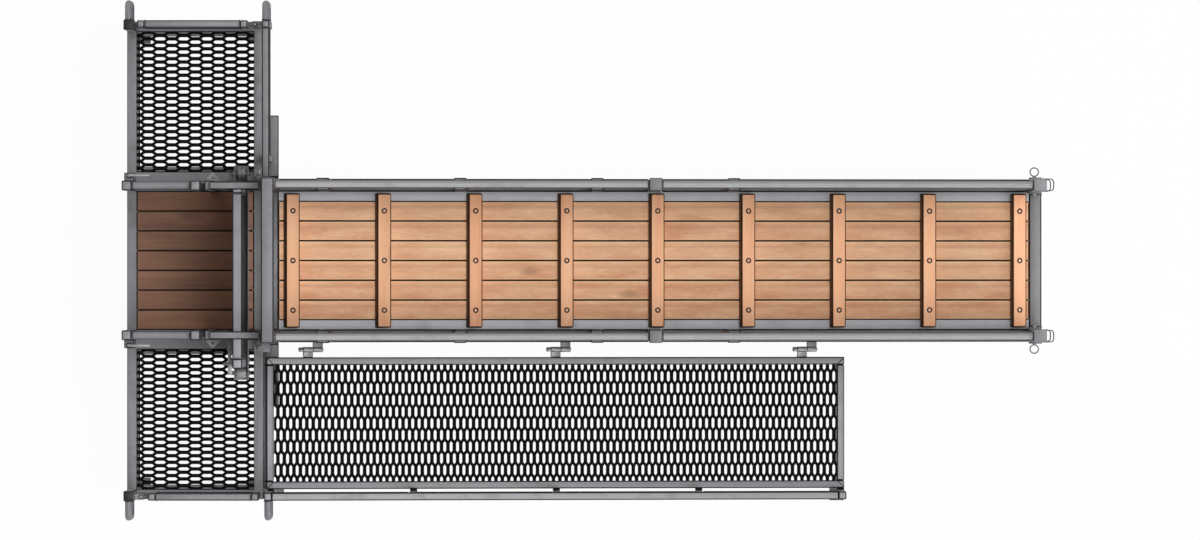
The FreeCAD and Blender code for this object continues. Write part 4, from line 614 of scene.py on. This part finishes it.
def bentHandle(low, high, sign, faceY, bend, tube):
    # From a face sideways, down and back. sign is the side of the race, faceY the face's y.
    shape = freshShape()
    middleX = (low.x + high.x) / 2
    top = high.z - tube / 2
    foot = low.z + tube / 2
    outer = (high.y - tube / 2) if sign > 0 else (low.y + tube / 2)
    out = Vector((0, sign, 0))
    edges = startRing(shape, Vector((middleX, faceY, top)), out, tube / 2)
    firstRun = abs(outer - faceY) - bend
    edges = straightRun(shape, edges, out * firstRun)
    turnAxis = Vector((-sign, 0, 0))
    centre = Vector((middleX, faceY + sign * firstRun, top - bend))
    edges = bendRun(shape, edges, centre, turnAxis, math.pi / 2)
    edges = straightRun(shape, edges, Vector((0, 0, -(top - foot - 2 * bend))))
    centre = Vector((middleX, faceY + sign * firstRun, foot + bend))
    edges = bendRun(shape, edges, centre, turnAxis, math.pi / 2)
    straightRun(shape, edges, -out * firstRun)
    closeEnds(shape)
    return shape


def roundBead(piece, centre, forward, radius):
    bead = freshShape()
    edges = startRing(bead, centre, forward, radius + weldBead["proud"])
    straightRun(bead, edges, forward * weldBead["long"])
    closeEnds(bead)
    markFaces(bead, bead.faces, "seam_and_shade", weldBead["dark"])
    softenEdges(bead, weldBead["proud"] * weldBead["edge"], seam_and_shade=weldBead["dark"])
    addShape(piece, bead)


grabHandle = {"bend": 0.055, "tube": 0.038}


def addHandle(piece, low, high, sign):
    face = low.y if sign > 0 else high.y
    handle = bentHandle(low, high, sign, face, grabHandle["bend"], grabHandle["tube"])
    addShape(piece, handle)
    middleX = (low.x + high.x) / 2
    for level in (low.z + grabHandle["tube"] / 2, high.z - grabHandle["tube"] / 2):
        roundBead(piece, Vector((middleX, face, level)), Vector((0, sign, 0)), grabHandle["tube"] / 2)


handles = freshShape()
for shape in solidsOf("grab_handles"):
    low, high = spanOf(shape)
    addHandle(handles, low, high, 1 if low.y > 0 else -1)
    shape.free()
finishPiece(handles, "dock_grab_handles", "gate_steel", "root", ["grab_handles"])
for node, (low, high) in handleShapes.items():
    handle = freshShape()
    addHandle(handle, low, high, 1 if low.y > 0 else -1)
    finishPiece(handle, node + "_handle", "gate_steel", bodyOf[node])
print("grab handles")


def roundBar(start, stop, radius, edge=0.0):
    shape = freshShape()
    along = stop - start
    edges = startRing(shape, start, along.normalized(), radius)
    straightRun(shape, edges, along)
    closeEnds(shape)
    softenEdges(shape, edge)
    return shape


# Ladder rungs, round bars between the legs.
rungs = freshShape()
for shape in solidsOf("ladder_rungs"):
    low, high = spanOf(shape)
    middle = (low + high) / 2
    start = Vector((low.x, middle.y, middle.z))
    stop = Vector((high.x, middle.y, middle.z))
    radius = (high.y - low.y) / 2
    addShape(rungs, roundBar(start, stop, radius))
    roundBead(rungs, start, Vector((1, 0, 0)), radius)
    roundBead(rungs, stop, Vector((-1, 0, 0)), radius)
    shape.free()
finishPiece(rungs, "dock_ladder_rungs", "frame_steel", "root", ["ladder_rungs"])


# Raised expanded metal at its true pitch: staggered six-sided openings, each strand tilted.
expandedMetal = {"longPitch": 0.1202, "shortPitch": 0.03404, "openLong": 0.0288, "openFlat": 0.0184,
                 "openTall": 0.0078, "bond": 0.024, "tilt": 0.0014, "thick": 0.0026, "merge": 0.00005}


def hexagon(flat, tip, tall):  # corners in turn, the first at the right end of the upper side
    return [(flat, tall), (-flat, tall), (-tip, 0), (-flat, -tall), (flat, -tall), (tip, 0)]


def meshSheet(long, wide, phase):
    # Sheet in its own frame: openings long in x, and rows in y from phase. Columns start at x = 0.
    mesh = expandedMetal
    shape = freshShape()
    half = mesh["longPitch"] / 2
    rise = mesh["shortPitch"] / 2
    tip = half - mesh["bond"]
    opening = hexagon(mesh["openFlat"], mesh["openLong"], mesh["openTall"])
    leans = (-1, -1, 0, 1, 1, 0)
    outer = [shape.verts.new((x, y, 0)) for x, y in hexagon(mesh["bond"], tip, rise)]
    inner = [shape.verts.new((x, y, lean * mesh["tilt"])) for (x, y), lean in zip(opening, leans)]
    for k in range(len(outer)):
        after = (k + 1) % len(outer)
        shape.faces.new((outer[k], outer[after], inner[after], inner[k]))
    cell = list(shape.verts) + list(shape.edges) + list(shape.faces)
    columns = math.ceil(long / half) + 2
    rows = math.ceil(wide / mesh["shortPitch"]) + 2
    for column in range(columns):
        for row in range(rows):
            lift = 0 if column % 2 else rise
            made = bmesh.ops.duplicate(shape, geom=cell)["geom"]
            verts = [part for part in made if isinstance(part, bmesh.types.BMVert)]
            step = ((column - 1) * half, phase + (row - 1) * 2 * rise + lift, 0)
            bmesh.ops.translate(shape, verts=verts, vec=step)
    bmesh.ops.delete(shape, geom=outer + inner, context="VERTS")
    bmesh.ops.remove_doubles(shape, verts=shape.verts, dist=mesh["merge"])
    trims = (((0, 0, 0), (-1, 0, 0)), ((long, 0, 0), (1, 0, 0)), ((0, 0, 0), (0, -1, 0)),
             ((0, wide, 0), (0, 1, 0)))
    for point, normal in trims:
        geom = list(shape.verts) + list(shape.edges) + list(shape.faces)
        bmesh.ops.bisect_plane(shape, geom=geom, plane_co=point, plane_no=normal, clear_outer=True)
    bmesh.ops.recalc_face_normals(shape, faces=shape.faces)
    bmesh.ops.solidify(shape, geom=list(shape.faces), thickness=mesh["thick"])
    return shape


meshPhases = {"walkway": 0.003, "catwalk": 0.004}
walkwayMesh = freshShape()
for shape in solidsOf("walkway_mesh"):
    low, high = spanOf(shape)
    sheet = meshSheet(high.x - low.x, high.y - low.y, meshPhases["walkway"])
    outer = low.y if low.y < 0 else high.y
    bmesh.ops.scale(sheet, vec=(1, -math.copysign(1, outer), 1), verts=sheet.verts)
    bmesh.ops.translate(sheet, verts=sheet.verts, vec=(low.x, outer, high.z - expandedMetal["tilt"]))
    addShape(walkwayMesh, sheet)
    shape.free()
finishPiece(walkwayMesh, "walkway_expanded_mesh", "mesh_steel", "root", ["walkway_mesh"])

low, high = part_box("catwalk_mesh")
meshDeep = 0.005  # thickness of the model's sheet
catwalkLong = (high.x - low.x - meshDeep * math.sin(slopeAngle)) / math.cos(slopeAngle)
sheet = meshSheet(high.y - low.y, catwalkLong, meshPhases["catwalk"])
turn = Matrix.Rotation(slopeAngle, 4, "Y") @ Matrix.Rotation(-math.pi / 2, 4, "Z")
bmesh.ops.transform(sheet, matrix=turn, verts=sheet.verts)
spot = Vector((low.x + meshDeep * math.sin(slopeAngle), high.y, high.z))
bmesh.ops.translate(sheet, verts=sheet.verts, vec=spot)
catwalkMesh = freshShape()
addShape(catwalkMesh, sheet)
finishPiece(catwalkMesh, "catwalk_expanded_mesh", "mesh_steel", "catwalk", ["catwalk_mesh"])
print("expanded metal")


# Weld lines along the mitred corners of the catwalk frame.
mitreWeld = {"tube": 0.040, "wide": 0.0045, "tall": 0.0012, "end": 0.003}


def mitreLine(piece, corner, turnBy):
    line = freshShape()
    long = math.sqrt(2) * mitreWeld["tube"] - 2 * mitreWeld["end"]
    size = Matrix.Diagonal((long, mitreWeld["wide"], mitreWeld["tall"], 1))
    bmesh.ops.create_cube(line, size=1, matrix=size)
    softenEdges(line, mitreWeld["tall"] / 3, segments=1)
    spin = Matrix.Rotation(slopeAngle, 4, "Y") @ Matrix.Rotation(turnBy, 4, "Z")
    bmesh.ops.transform(line, matrix=Matrix.Translation(corner) @ spin, verts=line.verts)
    markFaces(line, line.faces, "seam_and_shade", 1.0)
    addShape(piece, line)


low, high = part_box("catwalk_frame")
mitres = freshShape()
half = mitreWeld["tube"] / 2
topEdge = Vector((low.x + mitreWeld["tube"] * math.sin(slopeAngle), 0, high.z))
downSlope = Vector((math.cos(slopeAngle), 0, -math.sin(slopeAngle)))
frameLong = (high.x - topEdge.x) / math.cos(slopeAngle)
for along, lean in ((half, 1), (frameLong - half, -1)):
    for across, side in ((low.y + half, 1), (high.y - half, -1)):
        middle = topEdge + downSlope * along
        mitreLine(mitres, Vector((middle.x, across, middle.z)), lean * side * math.pi / 4)
finishPiece(mitres, "catwalk_mitre_welds", "frame_steel", "catwalk")


# Timber plugs over the cleats' bolts, each in a black ring that stands in for the shade of its recess.
cleatPlug = {"radius": 0.0078, "ringIn": 0.0076, "ringOut": 0.0146, "proud": 0.0016, "ringProud": 0.0012,
             "sides": 20, "taper": 0.9, "edge": 0.0006, "edgeDark": 0.4, "sideways": 0.2555}
plugShadeRings = freshShape()
plugs = freshShape()
for shape in solidsOf("ramp_cleats"):
    upper = max(shape.faces, key=lambda face: face.normal.z)
    middle = upper.calc_center_median()
    turn = Matrix.Rotation(slopeAngle, 4, "Y")
    for offset in (-cleatPlug["sideways"], 0, cleatPlug["sideways"]):
        spot = Matrix.Translation(middle + Vector((0, offset, 0))) @ turn
        ring = freshShape()
        for radius in (cleatPlug["ringIn"], cleatPlug["ringOut"]):
            bmesh.ops.create_circle(ring, segments=cleatPlug["sides"], radius=radius)
        bmesh.ops.bridge_loops(ring, edges=list(ring.edges))
        bmesh.ops.recalc_face_normals(ring, faces=ring.faces)
        bmesh.ops.solidify(ring, geom=list(ring.faces), thickness=cleatPlug["proud"])
        lift = cleatPlug["ringProud"] - max(vert.co.z for vert in ring.verts)
        bmesh.ops.translate(ring, verts=ring.verts, vec=(0, 0, lift))
        bmesh.ops.transform(ring, matrix=spot, verts=ring.verts)
        addShape(plugShadeRings, ring)
        plug = freshShape()
        bmesh.ops.create_cone(plug, segments=cleatPlug["sides"], radius1=cleatPlug["radius"],
                              radius2=cleatPlug["radius"] * cleatPlug["taper"],
                              depth=2 * cleatPlug["proud"], cap_ends=True)
        softenEdges(plug, cleatPlug["edge"], seam_and_shade=cleatPlug["edgeDark"])
        bmesh.ops.transform(plug, matrix=spot, verts=plug.verts)
        addShape(plugs, plug)
    shape.free()
finishPiece(plugs, "cleat_bolt_plugs", "cleat_timber", "root")
finishPiece(plugShadeRings, "cleat_plug_shade_rings", "cap_plastic", "root")
print("cleat plugs")


# Round pins with pull rings.
pullPin = {"wire": 0.006, "ringSides": 40, "wireSides": 12, "merge": 0.00002, "dark": 0.85}


def ringShape(centre, across, wire):
    shape = freshShape()
    section = Matrix.Translation((across / 2, 0, 0)) @ Matrix.Rotation(math.pi / 2, 4, "X")
    bmesh.ops.create_circle(shape, segments=pullPin["wireSides"], radius=wire / 2, matrix=section)
    bmesh.ops.spin(shape, geom=list(shape.edges), cent=(0, 0, 0), axis=(0, 0, 1), angle=2 * math.pi,
                   steps=pullPin["ringSides"], use_merge=True, use_duplicate=False)
    bmesh.ops.remove_doubles(shape, verts=shape.verts, dist=pullPin["merge"])
    bmesh.ops.translate(shape, verts=shape.verts, vec=centre)
    markFaces(shape, shape.faces, "seam_and_shade", pullPin["dark"])
    return shape


def uprightBar(x, y, low, high, radius, edge):
    return roundBar(Vector((x, y, low)), Vector((x, y, high)), radius, edge)


def crossBar(x, z, start, stop, radius, edge):
    return roundBar(Vector((x, start, z)), Vector((x, stop, z)), radius, edge)


couplingPin = {"shank": 0.012, "shankEdge": 0.001, "head": 0.022, "headTall": 0.008, "headEdge": 0.0015,
               "ring": 0.030, "ringLift": 0.004}


def makeCouplingPin(side, sign):
    low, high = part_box("coupling_pin_" + side)
    middleX = (low.x + high.x) / 2
    outer = high.y if sign > 0 else low.y
    inner = low.y if sign > 0 else high.y
    ringY = inner + sign * (couplingPin["ring"] + pullPin["wire"]) / 2
    axisY = outer - sign * couplingPin["head"] / 2
    headLow = high.z - couplingPin["headTall"]
    piece = freshShape()
    addShape(piece, uprightBar(middleX, axisY, low.z, high.z, couplingPin["shank"] / 2,
                               couplingPin["shankEdge"]))
    addShape(piece, uprightBar(middleX, axisY, headLow, high.z, couplingPin["head"] / 2,
                               couplingPin["headEdge"]))
    ringSpot = Vector((middleX, ringY, headLow + couplingPin["ringLift"]))
    addShape(piece, ringShape(ringSpot, couplingPin["ring"], pullPin["wire"]))
    finishPiece(piece, "coupling_pull_pin_" + side, "pin_steel", bodyOf["coupling_pin_" + side],
                ["coupling_pin_" + side])


entryPin = {"shank": 0.018, "collar": 0.028, "collarLong": 0.008, "collarGap": 0.0057, "ring": 0.0435,
            "edge": 0.0015}


def makeEntryPin(side, sign):
    low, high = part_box("entry_pin_" + side)
    middle = (low + high) / 2
    tail = low.y if sign > 0 else high.y
    tip = high.y if sign > 0 else low.y
    ringY = tip - sign * (entryPin["ring"] + pullPin["wire"]) / 2
    head = ringY - sign * entryPin["ring"] / 2
    collarEnd = head - sign * entryPin["collarGap"]
    collarStart = collarEnd - sign * entryPin["collarLong"]
    piece = freshShape()
    addShape(piece, crossBar(middle.x, middle.z, tail, head, entryPin["shank"] / 2, entryPin["edge"]))
    addShape(piece, crossBar(middle.x, middle.z, collarStart, collarEnd, entryPin["collar"] / 2,
                             entryPin["edge"]))
    addShape(piece, ringShape(Vector((middle.x, ringY, middle.z)), entryPin["ring"], pullPin["wire"]))
    finishPiece(piece, "entry_pull_pin_" + side, "pin_steel", bodyOf["entry_pin_" + side],
                ["entry_pin_" + side])


for side, sign in (("far", 1), ("near", -1)):
    makeCouplingPin(side, sign)
    makeEntryPin(side, sign)


# Drop bolts: a round rod, a collar and a bent arm that leaves the top of the rod.
dropBolt = {"rod": 0.016, "rodEdge": 0.002, "bend": 0.024, "collar": 0.026, "collarTall": 0.008,
            "collarEdge": 0.0012, "collarLevel": 0.367}


def makeDropBolt(side):
    node = "drop_bolt_" + side
    low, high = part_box(node)
    rodX = low.x + dropBolt["collar"] / 2
    rodY = (low.y + high.y) / 2
    radius = dropBolt["rod"] / 2
    bend = dropBolt["bend"]
    top = high.z - radius
    piece = freshShape()
    rod = freshShape()
    edges = startRing(rod, Vector((rodX, rodY, low.z)), Vector((0, 0, 1)), radius)
    edges = straightRun(rod, edges, Vector((0, 0, top - low.z - bend)))
    elbow = Vector((rodX + bend, rodY, top - bend))
    edges = bendRun(rod, edges, elbow, Vector((0, 1, 0)), math.pi / 2)
    straightRun(rod, edges, Vector((high.x - rodX - bend, 0, 0)))
    closeEnds(rod)
    softenEdges(rod, dropBolt["rodEdge"])
    addShape(piece, rod)
    level = low.z + dropBolt["collarLevel"]
    addShape(piece, uprightBar(rodX, rodY, level, level + dropBolt["collarTall"], dropBolt["collar"] / 2,
                               dropBolt["collarEdge"]))
    finishPiece(piece, node + "_rod", "pin_steel", bodyOf[node], [node])


for side in ("far", "near"):
    makeDropBolt(side)


# Pull handle of the slide gate, one bent round bar.
gatePull = {"bar": 0.016, "bend": 0.022}
low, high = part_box("slide_gate_handle")
radius = gatePull["bar"] / 2
bend = gatePull["bend"]
middleY = (low.y + high.y) / 2
elbowX = low.x + radius + bend
turnAxis = Vector((0, -1, 0))
piece = freshShape()
grip = freshShape()
edges = startRing(grip, Vector((high.x, middleY, high.z - radius)), Vector((-1, 0, 0)), radius)
edges = straightRun(grip, edges, Vector((elbowX - high.x, 0, 0)))
edges = bendRun(grip, edges, Vector((elbowX, middleY, high.z - radius - bend)), turnAxis, math.pi / 2)
edges = straightRun(grip, edges, Vector((0, 0, low.z - high.z + 2 * (radius + bend))))
edges = bendRun(grip, edges, Vector((elbowX, middleY, low.z + radius + bend)), turnAxis, math.pi / 2)
straightRun(grip, edges, Vector((high.x - elbowX, 0, 0)))
closeEnds(grip)
addShape(piece, grip)
for level in (low.z + radius, high.z - radius):
    roundBead(piece, Vector((high.x, middleY, level)), Vector((-1, 0, 0)), radius)
finishPiece(piece, "slide_gate_pull", "gate_steel", "slide_gate", ["slide_gate_handle"])


# Coupling loops: flat bar bent round two corners and welded to the entry posts.
couplingLoop = {"bar": 0.005, "corner": 0.020, "cornerSteps": 8, "edge": 0.001, "sharp": math.radians(60),
                "dark": 0.75}
piece = freshShape()
for shape in solidsOf("coupling_loops"):
    low, high = spanOf(shape)
    shape.free()
    loop = freshShape()
    corners = [(low.x, low.y), (high.x, low.y), (high.x, high.y), (low.x, high.y)]
    verts = [loop.verts.new((x, y, low.z)) for x, y in corners]
    for pair in zip(verts, verts[1:]):
        loop.edges.new(pair)
    bmesh.ops.bevel(loop, geom=verts[1:3], offset=couplingLoop["corner"], affect="VERTICES",
                    segments=couplingLoop["cornerSteps"], profile=0.5, material=-1)
    straightRun(loop, list(loop.edges), Vector((0, 0, high.z - low.z)))
    bmesh.ops.recalc_face_normals(loop, faces=loop.faces)
    bmesh.ops.solidify(loop, geom=list(loop.faces), thickness=couplingLoop["bar"])
    softenEdges(loop, couplingLoop["edge"], sharp=couplingLoop["sharp"])
    markFaces(loop, loop.faces, "seam_and_shade", couplingLoop["dark"])
    addShape(piece, loop)
finishPiece(piece, "race_coupling_loops", "frame_steel", "root", ["coupling_loops"])
print("pins, bolts and loops")


# Pale floor and soft studio light. The floor glows a little to the camera so that it reads white.
studio = {"floorWide": 60, "floorTone": tone(240, 240, 239), "floorRough": 0.9, "floorGlow": 0.95,
          "world": 0.36,
          "lamps": {"key": {"power": 1.9, "soft": 20, "tilt": 14, "turn": 0},
                    "front": {"power": 1.3, "soft": 30, "tilt": 73, "turn": -62},
                    "back": {"power": 1.1, "soft": 30, "tilt": 73, "turn": 118}}}


def seenDirect(finish):  # 1 for the camera and in mirror-like and clear surfaces
    share = 0.0
    for ray in ("Is Camera Ray", "Is Glossy Ray", "Is Transmission Ray"):
        seen = finish.add("ShaderNodeLightPath", output=ray)
        share = seen.math("MAXIMUM", share, seen)
    return share


def buildFloor():
    ground = bmesh.new()
    bmesh.ops.create_grid(ground, x_segments=1, y_segments=1, size=studio["floorWide"] / 2)
    mesh = bpy.data.meshes.new("floor")
    ground.to_mesh(mesh)
    ground.free()
    material = bpy.data.materials.new("floor")
    finish = Finish(material)
    glow = finish.add("ShaderNodeEmission", {}, {"Color": (1, 1, 1, 1), "Strength": 1.0})
    finish.join(finish.shader.inputs["Base Color"], studio["floorTone"])
    finish.join(finish.shader.inputs["Roughness"], studio["floorRough"])
    plain = Wire(finish, finish.shader.outputs[0])
    glowShare = seenDirect(finish) * studio["floorGlow"]
    mixed = finish.add("ShaderNodeMixShader", {}, {0: glowShare, 1: plain, 2: glow})
    finish.join(finish.tree.nodes["Material Output"].inputs["Surface"], mixed)
    mesh.materials.append(material)
    floor = bpy.data.objects.new("floor", mesh)
    bpy.context.collection.objects.link(floor)


def buildWorld():
    world = bpy.data.worlds.new("studio")
    bpy.context.scene.world = world
    sky = Finish(world)
    light = sky.add("ShaderNodeBackground", {}, {"Color": (1, 1, 1, 1), "Strength": studio["world"]})
    white = sky.add("ShaderNodeBackground", {}, {"Color": (1, 1, 1, 1), "Strength": 1.0})
    mixed = sky.add("ShaderNodeMixShader", {}, {0: seenDirect(sky), 1: light, 2: white})
    sky.join(sky.tree.nodes["World Output"].inputs["Surface"], mixed)


def hangLamps():
    for name, lamp in studio["lamps"].items():
        data = bpy.data.lights.new(name, "SUN")
        data.energy = lamp["power"]
        data.angle = math.radians(lamp["soft"])
        made = bpy.data.objects.new(name, data)
        made.rotation_euler = (Matrix.Rotation(math.radians(lamp["turn"]), 3, "Z")
                               @ Matrix.Rotation(math.radians(lamp["tilt"]), 3, "Y")).to_euler()
        bpy.context.collection.objects.link(made)


buildFloor()
buildWorld()
hangLamps()
